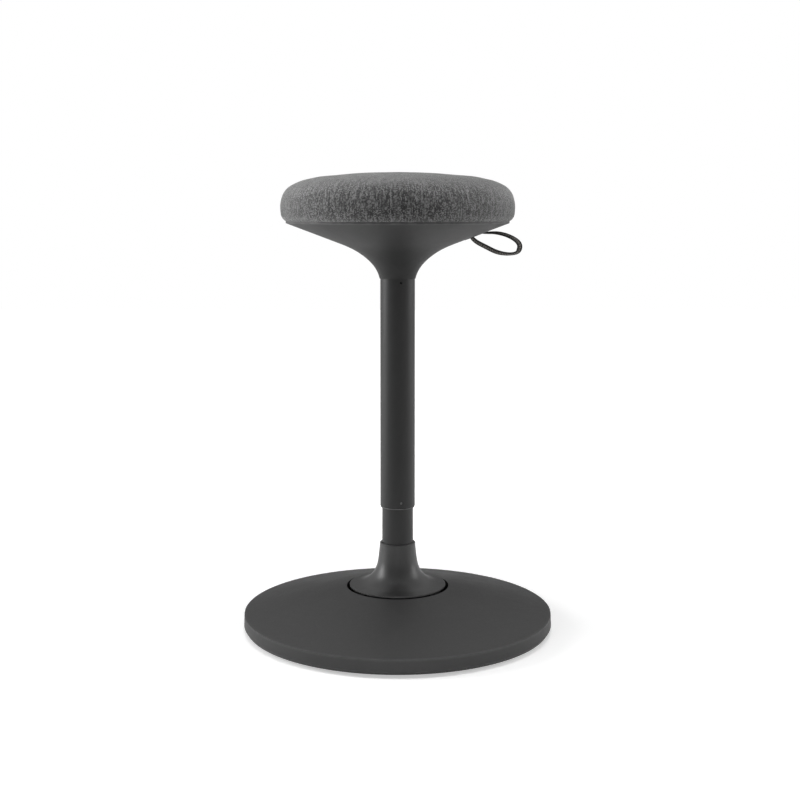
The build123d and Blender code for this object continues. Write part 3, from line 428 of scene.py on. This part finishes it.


# %% [markdown]
# ## Finishes of the hard parts
#
# Going up from the floor: rubber foot, zinc plate and cast weight under a powder-coated
# cover, then the plastic collar, the two coated tubes, and the plastic bowl. What is hidden
# inside gets its real finish too, because it shows when the stool is taken apart.

# %% Base
# Painted highlight along the base cover's upper rim edge.
base_rim = (0.219, 0.024, 0.0035)
powder_base = coated(
    "powder_coat_base", 0.190, 0.50, 1100.0, 0.00012, edge=base_rim, sheen=0.40
)
paint(powder_base, "base_cover")
cast_iron = coated("cast_iron", 0.22, 0.68, 700.0, 0.0003, metal=0.6, sheen=0.4)
paint(cast_iron, "base_weight", "pivot_housing", "column_foot")
zinc = coated("zinc_plated_steel", 0.62, 0.34, 1800.0, 0.00005, metal=1.0)
paint(zinc, "base_plate", "cover_screws", "housing_bolts", "stem_washer", "stem_nut")
rubber = coated("black_rubber", 0.13, 0.82, 1300.0, 0.0002, sheen=0.3)
paint(rubber, "foot_ring", "tilt_bush")

# %% Column, collar and tube
# Painted highlight round the collar's foot edge.
collar_rim = (0.0688, 0.061, 0.002)
collar_plastic = coated(
    "collar_plastic", 0.182, 0.36, 2600.0, 0.00008, edge=collar_rim, sheen=0.55
)
paint(collar_plastic, "floor_collar")
# Painted highlight round the tube's lower lip.
tube_end = (0.025, 0.1728, 0.002)
powder_tube = coated("powder_coat_tube", 0.16, 0.46, 1200.0, 0.0001, edge=tube_end, sheen=0.42)
paint(powder_tube, "column_tube", "outer_tube")
black_plastic = coated("black_plastic", 0.12, 0.5, 2400.0, 0.00006)
paint(black_plastic, "column_bush", "bearing_cage", "rod_damper", "pad_clips", "loop_grommet")
paint(coated("grey_plastic", 0.34, 0.55, 2400.0, 0.00006), "guide_bush")

# %% Swivel bearing and gas lift
bright = coated("ground_steel", 0.72, 0.2, 2200.0, 0.00002, metal=1.0)
paint(bright, "lower_race", "upper_race", "bearing_balls", "piston_rod", "piston", "rod_clip")
paint(bright, "valve_pin")
paint(coated("black_enamel", 0.10, 0.3, 1500.0, 0.00005), "gas_cylinder")
paint(coated("black_oxide", 0.035, 0.6, 1500.0, 0.00003, sheen=0.15), "tube_lock_screw")
paint(zinc, "rod_plate", "mount_screws", "lever_pin")

# %% Seat
aluminium = coated("cast_aluminium", 0.5, 0.55, 900.0, 0.00015, metal=0.9)
paint(aluminium, "seat_hub")
paint(zinc, "mount_plate", "lever_bracket", "release_lever", "loop_clamp")
# Painted highlight on the bowl's rim band, lifted strongly where the cushion's overhang shades it.
bowl_rim = (0.161, 0.5816, 0.0035)
bowl_plastic = coated(
    "bowl_plastic", 0.215, 0.55, 2600.0, 0.0001, patch=0.09, edge=bowl_rim, highlight_lift=2.25, sheen=0.25
)
paint(bowl_plastic, "seat_bowl")

# %% [markdown]
# The board under the foam is plywood. Its grain is a wave pattern stretched along one way of
# the sheet and bent by noise, and the plies show as thin bands at its edge.

# %% Plywood
plywood = bpy.data.materials.new("birch_plywood")
plywood.use_nodes = True
wood = plywood.node_tree
wood.nodes.clear()
place = add(wood, "ShaderNodeTexCoord").outputs["Object"]
stretched = add(wood, "ShaderNodeMapping", {"Vector": place, "Scale": (1.0, 9.0, 60.0)})
figure = add(
    wood,
    "ShaderNodeTexNoise",
    {"Vector": stretched.outputs[0], "Scale": 14.0, "Detail": 6.0, "Distortion": 0.6},
).outputs[0]
plies = add(wood, "ShaderNodeSeparateXYZ", {0: place}).outputs["Z"]
plies = calc(wood, "PINGPONG", plies, 0.0014)
plies = remap(wood, plies, 0.0004, 0.0010, 0.75, 1.0)
ramp = add(wood, "ShaderNodeValToRGB", {"Fac": figure})
ramp.color_ramp.elements[0].position = 0.3
ramp.color_ramp.elements[0].color = (0.36, 0.22, 0.11, 1)
ramp.color_ramp.elements[1].position = 0.7
ramp.color_ramp.elements[1].color = (0.62, 0.44, 0.26, 1)
banded = add(wood, "ShaderNodeVectorMath", {0: ramp.outputs[0], "Scale": plies}, operation="SCALE")
skin = add(wood, "ShaderNodeBump", {"Height": figure, "Strength": 0.2, "Distance": 0.0003})
sawn = add(
    wood,
    "ShaderNodeBsdfPrincipled",
    {
        "Base Color": banded.outputs[0],
        "Roughness": remap(wood, figure, 0.3, 0.7, 0.55, 0.7),
        "Normal": skin.outputs[0],
    },
)
add(wood, "ShaderNodeOutputMaterial", {"Surface": sawn.outputs[0]})
paint(plywood, "seat_board")

# %% [markdown]
# ## Cushion cloth
#
# The cover is a soft wool-like melange: dark and pale fibres spun together, so that the yarn
# comes out in short streaks. Stretched over a round pad, the streaks on the side run up and
# down and lean in over the shoulder, and on the flat top they lie with the weave. So each
# thread gets a tone of its own that changes slowly along it, and a chance fleck at each
# crossing. The warp carries long dashes, and the weft crosses it with short faint ones.
#
# A flat picture wrapped round the pad would pinch at the middle and meet in a seam. Here each
# point of the cushion carries its place on the flat disc that the cover was cut from, and
# every pattern reads that, so nothing meets and nothing pinches.

# %% Dashes of one yarn
dashes, given, result = effect(
    "thread dashes",
    [
        ("Across", FLOAT, 0.0),
        ("Along", FLOAT, 0.0),
        ("Pitch", FLOAT, 0.0012),
        ("Dash", FLOAT, 0.004),
    ],
    [("Tone", FLOAT)],
)
across, along, pitch, dash = [given.outputs[n] for n in ("Across", "Along", "Pitch", "Dash")]
far_apart = 7.31  # so that neighbouring threads read unlike places in the noise
one_thread = calc(dashes, "FLOOR", calc(dashes, "DIVIDE", across, pitch))
own_place = calc(dashes, "MULTIPLY", one_thread, far_apart)
down_it = calc(dashes, "DIVIDE", along, dash)
spot = add(dashes, "ShaderNodeCombineXYZ", {0: own_place, 1: down_it, 2: half_up}).outputs[0]
spun = add(dashes, "ShaderNodeTexNoise", {"Vector": spot, "Scale": 1.0, "Detail": 1.0}).outputs[0]
fleck_strength = 0.48
crossing = calc(dashes, "FLOOR", calc(dashes, "DIVIDE", along, pitch))
one_float = add(dashes, "ShaderNodeCombineXYZ", {0: one_thread, 1: crossing}).outputs[0]
fleck = add(
    dashes, "ShaderNodeTexWhiteNoise", {"Vector": one_float}, noise_dimensions="3D"
).outputs["Value"]
fleck = calc(dashes, "MULTIPLY_ADD", fleck, fleck_strength, -fleck_strength / 2)
dashes.links.new(calc(dashes, "ADD", spun, fleck), result.inputs[0])
print("effect made:", dashes.name)

# %% Place on the cloth
melange = bpy.data.materials.new("melange_cloth")
melange.use_nodes = True
cloth = melange.node_tree
cloth.nodes.clear()
cut = add(cloth, "ShaderNodeUVMap", uv_map="cut_disc").outputs[0]
reach = add(cloth, "ShaderNodeVectorMath", {0: cut}, operation="LENGTH").outputs["Value"]
side, front, _ = add(cloth, "ShaderNodeSeparateXYZ", {0: cut}).outputs
turn = calc(cloth, "ARCTAN2", side, calc(cloth, "MULTIPLY", front, -1.0))
flat_reach, side_reach = 0.10, 0.165  # metres of cloth from the middle of the crown
around = calc(cloth, "MULTIPLY", turn, side_reach)
on_side = remap(cloth, reach, flat_reach, side_reach)
print("cloth reads the map: cut_disc")


# %% Streaks of the yarn
def yarn_tone(across, along, pitch, dash):
    """How pale each thread of one direction is, along its length."""
    values = {"Across": across, "Along": along, "Pitch": pitch, "Dash": dash}
    return add(cloth, "ShaderNodeGroup", values, node_tree=dashes).outputs["Tone"]


def top_and_side(on_top, round_side):
    """One pattern on the flat top that gives way to another round the side."""
    values = {0: on_side, 2: on_top, 3: round_side}
    return add(cloth, "ShaderNodeMix", values, data_type="FLOAT").outputs[0]


warp = {"pitch": 0.0014, "dash": 0.012}
weft = {"pitch": 0.0012, "dash": 0.0022}
warp_tone = top_and_side(yarn_tone(side, front, **warp), yarn_tone(around, reach, **warp))
weft_tone = top_and_side(yarn_tone(front, side, **weft), yarn_tone(reach, around, **weft))
fuzz = add(
    cloth, "ShaderNodeTexNoise", {"Vector": cut, "Scale": 760.0, "Detail": 1.0, "Roughness": 0.7}
).outputs[0]
streaks = calc(cloth, "MULTIPLY_ADD", weft_tone, 0.25, calc(cloth, "MULTIPLY", warp_tone, 0.63))
streaks = calc(cloth, "MULTIPLY_ADD", fuzz, 0.12, streaks)
print("streaks: warp", warp, "weft", weft)

# %% Melange cloth
weave = add(
    cloth,
    "ShaderNodeGroup",
    {"Cloth": cut, "Warp pitch": 0.00085, "Weft pitch": 0.0010},
    node_tree=threads,
).outputs["Height"]
pale = calc(cloth, "MULTIPLY", remap(cloth, streaks, 0.37, 0.64), 0.84)
# The threads' height also lightens the colour: painted shade, darker in the gaps between threads.
pale = calc(cloth, "MULTIPLY_ADD", weave, 0.16, pale)
yarn = add(cloth, "ShaderNodeValToRGB", {"Fac": pale})
yarn.color_ramp.elements[0].position = 0.0
yarn.color_ramp.elements[0].color = grey(0.17)
yarn.color_ramp.elements[1].position = 1.0
yarn.color_ramp.elements[1].color = grey(0.58)
middle = yarn.color_ramp.elements.new(0.5)
middle.color = grey(0.34)
body_height = calc(cloth, "MULTIPLY_ADD", weave, 0.5, calc(cloth, "MULTIPLY", streaks, 1.2))
nap = add(cloth, "ShaderNodeBump", {"Height": body_height, "Strength": 0.6, "Distance": 0.0006})
woven = add(
    cloth,
    "ShaderNodeBsdfPrincipled",
    {
        "Base Color": yarn.outputs[0],
        "Roughness": remap(cloth, streaks, 0.4, 0.6, 0.82, 0.95),
        "Specular IOR Level": 0.25,
        "Sheen Weight": 0.58,
        "Sheen Roughness": 0.5,
        "Normal": nap.outputs[0],
    },
)
add(cloth, "ShaderNodeOutputMaterial", {"Surface": woven.outputs[0]})
paint(melange, "seat_cover", "seat_foam")

# %% [markdown]
# ## Cushion
#
# A moulded foam pad pulls its cover tight: a low dome on top, a full round shoulder, widest
# low down, and tucked in hard where the cloth goes under the board. It could be one lathed
# outline, but cloth over foam never looks turned. So a slightly smaller lathed pad is blown
# up by the Cloth simulation with its lower edge held, as the staples hold it, and the swelling
# is capped so that it keeps to its real size.


# %% Draw the pad's half outline
def pad_outline(inset):
    """Points (radius, height) up the side of the pad and in over its crown, inset by a margin."""
    low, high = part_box("seat_cover")
    widest = high.x
    base, top = low.z, high.z
    corners = [  # radius, height and the angle that the surface faces
        (widest - 0.0082, base, -38.0),
        (widest - 0.0020, base + 0.0054, -22.0),
        (widest, base + 0.0164, 0.0),
        (widest - 0.0002, base + 0.0262, 7.0),
        (widest - 0.0070, top - 0.0262, 38.0),
        (widest - 0.0228, top - 0.0153, 62.0),
        (widest - 0.0442, top - 0.0090, 79.0),
        (widest - 0.0800, top - 0.0050, 82.0),
        (widest - 0.1200, top - 0.0017, 86.0),
        (0.0, top - 0.0003, 90.0),
    ]
    knots = [
        Vector((r - inset * math.cos(math.radians(a)), 0, z - inset * math.sin(math.radians(a))))
        for r, z, a in corners
    ]
    knots[-1].x = 0.0
    return knots


print("pad outline knots:", len(pad_outline(0.0)))


# %% Round it into a smooth line
def smooth_outline(inset):
    """The half outline as close points on a curve through its knots."""
    line = bpy.data.curves.new("pad_line", "CURVE")
    line.dimensions = "3D"
    line.resolution_u = 10
    spline = line.splines.new("BEZIER")
    knots = pad_outline(inset)
    spline.bezier_points.add(len(knots) - 1)
    for point, knot in zip(spline.bezier_points, knots):
        point.co = knot
        point.handle_left_type = point.handle_right_type = "AUTO"
    carrier = bpy.data.objects.new("pad_line", line)
    half_line = bpy.data.meshes.new_from_object(carrier)
    outline = [v.co.copy() for v in half_line.vertices]
    bpy.data.objects.remove(carrier)
    bpy.data.meshes.remove(half_line)
    return outline


finished_outline = smooth_outline(0.0)
print("outline points:", len(finished_outline))


# %% Lathe a closed pad
def lathed_pad(outline, sides=96):
    """A closed turned form with a flat underside."""
    turns = [2 * math.pi * side / sides for side in range(sides)]
    mesh = bmesh.new()
    rings = []
    for point in outline[:-1]:
        r, z = point.x, point.z
        rings.append([mesh.verts.new((r * math.cos(t), r * math.sin(t), z)) for t in turns])
    peak = mesh.verts.new((0, 0, outline[-1].z))
    under = mesh.verts.new((0, 0, outline[0].z))
    for lower, upper in zip(rings, rings[1:]):
        for side in range(sides):
            after = (side + 1) % sides
            mesh.faces.new((lower[side], lower[after], upper[after], upper[side]))
    for side in range(sides):
        after = (side + 1) % sides
        mesh.faces.new((rings[-1][side], rings[-1][after], peak))
        mesh.faces.new((rings[0][after], rings[0][side], under))
    data = bpy.data.meshes.new("cushion")
    mesh.to_mesh(data)
    mesh.free()
    return data


room_to_swell = 0.0022
start_mesh = lathed_pad(smooth_outline(room_to_swell))
cushion = bpy.data.objects.new("cushion", start_mesh)
scene.collection.objects.link(cushion)
print("pad lathed with", len(start_mesh.vertices), "points")


# %% Make its skin even
def apply_modifiers(piece):
    """Swaps a piece's mesh for the one that its modifiers give, and drops the modifiers."""
    bpy.context.view_layer.update()
    seen = piece.evaluated_get(bpy.context.evaluated_depsgraph_get())
    data = bpy.data.meshes.new_from_object(seen)
    piece.modifiers.clear()
    piece.data = data
    return data


remesh = cushion.modifiers.new("even_skin", "REMESH")
remesh.mode = "VOXEL"
remesh.voxel_size = 0.005
even = cushion.modifiers.new("soften", "SMOOTH")
even.factor = 0.5
even.iterations = 4
apply_modifiers(cushion)
print("even skin with", len(cushion.data.vertices), "points")


# %% Blow it up like a stuffed cover
def swell(piece, pressure, hold_below, most):
    """Runs the Cloth simulation, with the lowest points held, and caps how far a point moves."""
    start = [v.co.copy() for v in piece.data.vertices]
    held = piece.vertex_groups.new(name="stapled")
    held.add([v.index for v in piece.data.vertices if v.co.z < hold_below], 1.0, "REPLACE")
    blown = piece.modifiers.new("stuffed", "CLOTH")
    blown.settings.quality = 6
    blown.settings.use_pressure = True
    blown.settings.uniform_pressure_force = pressure
    blown.settings.effector_weights.gravity = 0.0
    blown.settings.vertex_group_mass = held.name
    blown.settings.tension_stiffness = 30.0
    blown.settings.compression_stiffness = 30.0
    blown.collision_settings.use_collision = False
    first, last = 1, 20
    blown.point_cache.frame_start = first
    blown.point_cache.frame_end = last
    for step in range(first, last + 1):
        scene.frame_set(step)
    data = apply_modifiers(piece)
    for vertex, before in zip(data.vertices, start):
        move = vertex.co - before
        if move.length > most:
            vertex.co = before + move * (most / move.length)
    piece.vertex_groups.clear()
    scene.frame_set(first)
    return max((v.co - b).length for v, b in zip(data.vertices, start))


pad_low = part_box("seat_cover")[0]
swelled = swell(cushion, pressure=4.0, hold_below=pad_low.z + 0.004, most=0.0026)
print("cushion swelled by", round(swelled * 1000, 1), "mm")

# %% [markdown]
# The simulated skin is then drawn back to the foam's moulded outline, with a part of its own
# unevenness left. Just above the rim, where the cloth is drawn under the board, the outline
# is lowered a little, so that the hem closes on the bowl.


# %% Draw the skin to the foam
def settle(piece, outline, slack, kept=0.25):
    """Draws a piece's points to a turned outline, and keeps a part of their unevenness."""
    for vertex in piece.data.vertices:
        out = math.hypot(vertex.co.x, vertex.co.y)
        if vertex.co.z < outline[0].z + 0.004 and out < outline[0].x - 0.002:
            vertex.co.z = outline[0].z
            continue
        if out < 0.001:
            continue
        at = Vector((out, 0, vertex.co.z))
        best = None
        for low, high in zip(outline, outline[1:]):
            run = high - low
            share = min(1.0, max(0.0, (at - low).dot(run) / run.length_squared))
            foot = low + run * share
            if best is None or (at - foot).length_squared < best[0]:
                best = ((at - foot).length_squared, foot, Vector((run.z, 0, -run.x)).normalized())
        foot, facing = best[1], best[2]
        proud = max(-slack, min(slack, kept * (at - foot).dot(facing)))
        moved = foot + facing * proud
        vertex.co = Vector((vertex.co.x / out * moved.x, vertex.co.y / out * moved.x, moved.z))


hem, hem_drop, hem_height = finished_outline[0].z, 0.0019, 0.006
drawn_under = []
for point in finished_outline:
    share = max(0.0, 1 - (point.z - hem) / hem_height)
    drawn_under.append(Vector((point.x, 0, point.z - hem_drop * share)))
settle(cushion, drawn_under, slack=0.0005)
print("hem drawn down by", round(hem_drop * 1000, 1), "mm")

# %% [markdown]
# The last touches are by hand. A real cover is never quite even, so a slow noise moves the
# skin by a few tenths of a millimetre, and just above the rim, where the cloth is drawn
# under, it gathers in faint puckers. One subdivision then makes it smooth.

# %% Pucker the hem and smooth it
puckers, pucker_depth, pucker_height = 46, 0.0003, 0.014
wander = 0.0004
for vertex in cushion.data.vertices:
    x, y, z = vertex.co
    out = math.hypot(x, y)
    if out < 0.02:
        continue
    slow = (noise.noise(Vector((x, y, z)) * 22.0) - 0.2) * wander
    drawn = max(0.0, 1.0 - (z - pad_low.z) / pucker_height) * min(1.0, out / 0.15)
    uneven = noise.noise(Vector((x, y, 0)) * 30.0)
    gather = drawn * pucker_depth * math.sin(math.atan2(y, x) * puckers + 3.0 * uneven)
    grow = (slow + gather) / out
    vertex.co = Vector((x * (1 + grow), y * (1 + grow), z + slow * (z > pad_low.z + 0.02)))
smooth = cushion.modifiers.new("smooth", "SUBSURF")
smooth.levels = smooth.render_levels = 1
apply_modifiers(cushion)
print("cushion faces:", len(cushion.data.polygons))

# %% [markdown]
# Each point now gets its place on the cut disc of cloth: the way round is the point's own
# angle, and the distance out is how far the cloth has travelled from the middle of the crown,
# measured along the pad's outline.

# %% Lay the cloth's own map on the cushion
travelled = [0.0]
crown_down = list(reversed(finished_outline))
for before, after in zip(crown_down, crown_down[1:]):
    travelled.append(travelled[-1] + (after - before).length)
disc = cushion.data.uv_layers.new(name="cut_disc")
reached = []
for vertex in cushion.data.vertices:
    out = math.hypot(vertex.co.x, vertex.co.y)
    at = Vector((out, 0, vertex.co.z))
    nearest = min(range(len(crown_down)), key=lambda n: (crown_down[n] - at).length_squared)
    before = crown_down[max(nearest - 1, 0)]
    after = crown_down[min(nearest + 1, len(crown_down) - 1)]
    along = (after - before).normalized()
    far = travelled[nearest] + (at - crown_down[nearest]).dot(along)
    turn = math.atan2(vertex.co.y, vertex.co.x)
    reached.append((far * math.cos(turn), far * math.sin(turn)))
for loop in cushion.data.loops:
    disc.data[loop.index].uv = reached[loop.vertex_index]
print("cloth reaches", round(travelled[-1], 3), "m from the middle of the crown")

# %% Hand over the cushion
for face in cushion.data.polygons:
    face.use_smooth = True
cushion.data.materials.clear()
cushion.data.materials.append(melange)
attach(cushion, "seat")
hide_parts("seat_cover", "seat_foam")
print("handed over:", cushion.name)

# %% [markdown]
# ## Pull loop
#
# The loop is one short length of flat woven tape, clamped at both ends to the lever inside
# the bowl. Its line was settled with the hard parts, because the tape has to pass through the
# slot: out level, round a tight bend, and back. It is a smooth spline with the route's points
# for control points.

# %% The route of the tape
route = [
    (0.1120, 0.56675),
    (0.1180, 0.56675),
    (0.1275, 0.5660),
    (0.1400, 0.5667),
    (0.1540, 0.5642),
    (0.1660, 0.5592),
    (0.1745, 0.5528),
    (0.1770, 0.5462),
    (0.1742, 0.5388),
    (0.1680, 0.5360),
    (0.1560, 0.5356),
    (0.1420, 0.5385),
    (0.1275, 0.5460),
    (0.1150, 0.5523),
    (0.1092, 0.5570),
    (0.1066, 0.5605),
    (0.10534, 0.56365),
]
line = bpy.data.curves.new("loop_line", "CURVE")
line.dimensions = "3D"
line.resolution_u = 12
spline = line.splines.new("NURBS")
spline.points.add(len(route) - 1)
for point, (x, z) in zip(spline.points, route):
    point.co = (x, 0, z, 1)
spline.order_u = 3
spline.use_endpoint_u = True
carrier = bpy.data.objects.new("loop_line", line)
scene.collection.objects.link(carrier)
read = bpy.data.meshes.new_from_object(carrier)
bpy.data.meshes.remove(read)

# %% [markdown]
# Woven tape has two thick edge cords with a thin web of slanted ribs between them. All of it
# follows the same line, so Geometry Nodes sweep it: the web and the cords are small outlines
# carried along the line, and the ribs are short rods set out at an even spacing. The tape
# lies flat where it leaves the slot and turns on itself round the bend, which is a tilt that
# changes along its length.


# %% Tape materials
def tape_yarn(name, level, warm, pitch):
    """Twisted polyester yarn: fine slanting fibres with a soft shine."""
    material = bpy.data.materials.new(name)
    material.use_nodes = True
    tree = material.node_tree
    tree.nodes.clear()
    along = add(tree, "ShaderNodeAttribute", attribute_name="tape_place").outputs["Vector"]
    fibres = add(
        tree,
        "ShaderNodeGroup",
        {"Cloth": along, "Warp pitch": pitch, "Weft pitch": pitch},
        node_tree=threads,
    )
    uneven = {"Colour": grey(level, warm), "Amount": 0.25, "Patch size": 0.004}
    shades = add(tree, "ShaderNodeGroup", uneven, node_tree=tone)
    bump = add(
        tree,
        "ShaderNodeBump",
        {"Height": fibres.outputs["Height"], "Strength": 0.5, "Distance": 0.0002},
    )
    rough = remap(tree, fibres.outputs["Height"], 0.0, 1.0, 0.75, 0.6)
    surface = add(
        tree,
        "ShaderNodeBsdfPrincipled",
        {
            "Base Color": shades.outputs["Colour"],
            "Roughness": rough,
            "Specular IOR Level": 0.3,
            "Sheen Weight": 0.2,
            "Normal": bump.outputs[0],
        },
    )
    add(tree, "ShaderNodeOutputMaterial", {"Surface": surface.outputs[0]})
    return material


dark_yarn = tape_yarn("dark_tape_yarn", 0.07, 0.05, 0.0006)
web_yarn = tape_yarn("brown_tape_yarn", 0.30, 0.09, 0.0006)
rib_yarn = tape_yarn("taupe_tape_yarn", 0.50, 0.09, 0.0005)
print("tape yarns:", dark_yarn.name, web_yarn.name, rib_yarn.name)

# %% The tape as a node tree
tape_width = 0.008
sizes = [
    ("Width", tape_width),
    ("Web", 0.0018),
    ("Edge cord", 0.0012),
    ("Rib spacing", 0.0036),
]
tape = bpy.data.node_groups.new("woven_tape", "GeometryNodeTree")
tape.interface.new_socket("Line", in_out="INPUT", socket_type="NodeSocketGeometry")
for name, size in sizes:
    tape.interface.new_socket(name, in_out="INPUT", socket_type=FLOAT).default_value = size
tape.interface.new_socket("Tape", in_out="OUTPUT", socket_type="NodeSocketGeometry")
given = add(tape, "NodeGroupInput").outputs
result = add(tape, "NodeGroupOutput")
print("tape sizes:", sizes)

# %% Turn the line on itself
fine = add(tape, "GeometryNodeResampleCurve", {"Curve": given["Line"], "Count": 260})
upright = add(
    tape, "GeometryNodeSetCurveNormal", {"Curve": fine.outputs[0], "Normal": (0, 1, 0)}, mode="FREE"
)
step = add(tape, "GeometryNodeSplineParameter")
turns = add(tape, "ShaderNodeFloatCurve", {"Value": step.outputs["Factor"]})
shape = turns.mapping.curves[0]
quarter_turns = [  # how far along the tape, and what share of a quarter turn it has made
    (0.14, 0.16), (0.24, 0.38), (0.33, 0.47), (0.40, 0.62), (0.46, 0.78),
    (0.50, 0.62), (0.56, 0.28), (0.62, 0.36), (0.72, 0.52), (0.92, 0.48),
]
for along, turned in quarter_turns:
    shape.points.new(along, turned)
shape.points[0].location = (0.0, 0.0)
shape.points[-1].location = (1.0, 0.0)
turns.mapping.update()
tilt = calc(tape, "MULTIPLY", turns.outputs[0], math.radians(90))
tilted = add(
    tape, "GeometryNodeSetCurveTilt", {"Curve": upright.outputs[0], "Tilt": tilt}
).outputs[0]
print("twist set at", len(shape.points), "places")

# %% Sweep the web and the edge cords
box = add(tape, "GeometryNodeCurvePrimitiveQuadrilateral", {0: given["Width"], 1: given["Web"]})
web_outline = add(
    tape, "GeometryNodeFilletCurve", {"Curve": box.outputs[0], "Radius": 0.0006}, mode="POLY"
)
cord_outline = add(
    tape, "GeometryNodeCurvePrimitiveCircle", {"Resolution": 10, "Radius": given["Edge cord"]}
).outputs[0]
reach = calc(tape, "SUBTRACT", calc(tape, "MULTIPLY", given["Width"], 0.5), given["Edge cord"])
outlines = add(tape, "GeometryNodeJoinGeometry")
for side in (-1.0, 1.0):
    shift = add(tape, "ShaderNodeCombineXYZ", {0: calc(tape, "MULTIPLY", reach, side)})
    moved = add(
        tape, "GeometryNodeTransform", {"Geometry": cord_outline, "Translation": shift.outputs[0]}
    )
    tape.links.new(moved.outputs[0], outlines.inputs[0])
pieces = add(tape, "GeometryNodeJoinGeometry")
for outline, yarn in ((web_outline.outputs[0], web_yarn), (outlines.outputs[0], dark_yarn)):
    swept = add(tape, "GeometryNodeCurveToMesh", {"Curve": tilted, "Profile Curve": outline})
    swept.inputs["Fill Caps"].default_value = True
    dressed = add(tape, "GeometryNodeSetMaterial", {"Geometry": swept.outputs[0], "Material": yarn})
    tape.links.new(dressed.outputs[0], pieces.inputs[0])
print("swept: one web and two edge cords")

# %% Set out the ribs
spots = add(
    tape,
    "GeometryNodeCurveToPoints",
    {"Curve": tilted, "Length": given["Rib spacing"]},
    mode="LENGTH",
)
slant = add(tape, "FunctionNodeAxisAngleToRotation", {"Axis": (0, 1, 0), "Angle": math.radians(35)})
laid = add(
    tape,
    "FunctionNodeRotateRotation",
    {"Rotation": spots.outputs["Rotation"], "Rotate By": slant.outputs[0]},
    rotation_space="LOCAL",
)
bead = add(tape, "GeometryNodeMeshUVSphere", {"Segments": 10, "Rings": 7, "Radius": 0.5})
rib_length = calc(tape, "MULTIPLY", given["Width"], 0.72)
rib_height = calc(tape, "MULTIPLY", given["Web"], 1.5)
rib_thickness = 0.0019
rib_size = add(
    tape, "ShaderNodeCombineXYZ", {0: rib_length, 1: rib_height, 2: rib_thickness}
)
rib = add(
    tape, "GeometryNodeTransform", {"Geometry": bead.outputs[0], "Scale": rib_size.outputs[0]}
)
ribs = add(
    tape,
    "GeometryNodeInstanceOnPoints",
    {"Points": spots.outputs[0], "Instance": rib.outputs[0], "Rotation": laid.outputs[0]},
)
real = add(tape, "GeometryNodeRealizeInstances", {0: ribs.outputs[0]})
dressed = add(tape, "GeometryNodeSetMaterial", {"Geometry": real.outputs[0], "Material": rib_yarn})
tape.links.new(dressed.outputs[0], pieces.inputs[0])
soft = add(tape, "GeometryNodeSetShadeSmooth", {"Geometry": pieces.outputs[0]})
spot = add(tape, "GeometryNodeInputPosition")
marked = add(
    tape,
    "GeometryNodeStoreNamedAttribute",
    {"Geometry": soft.outputs[0], "Name": "tape_place", "Value": spot.outputs[0]},
    data_type="FLOAT_VECTOR",
)
tape.links.new(marked.outputs[0], result.inputs[0])
print("tape tree nodes:", len(tape.nodes))

# %% Make the tape
woven_tape = carrier.modifiers.new("woven_tape", "NODES")
woven_tape.node_group = tape
inputs = [item for item in tape.interface.items_tree if item.in_out == "INPUT"]
sockets = {item.name: item.identifier for item in inputs}
for name, size in sizes:
    woven_tape[sockets[name]] = size
bpy.context.view_layer.update()
seen = carrier.evaluated_get(bpy.context.evaluated_depsgraph_get())
loop_mesh = bpy.data.meshes.new_from_object(seen)
loop_mesh.name = "pull_loop_tape"
pull_loop = bpy.data.objects.new("pull_loop_tape", loop_mesh)
scene.collection.objects.link(pull_loop)
carrier.modifiers.clear()
bpy.data.objects.remove(carrier)
print("tape faces:", len(loop_mesh.polygons))

# %% Hand over the tape
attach(pull_loop, "lever")
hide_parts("pull_loop")
paint(dark_yarn, "pull_loop")

# %% List the parts without a finish
print("parts without a finish:", sorted(set(parts) - painted))
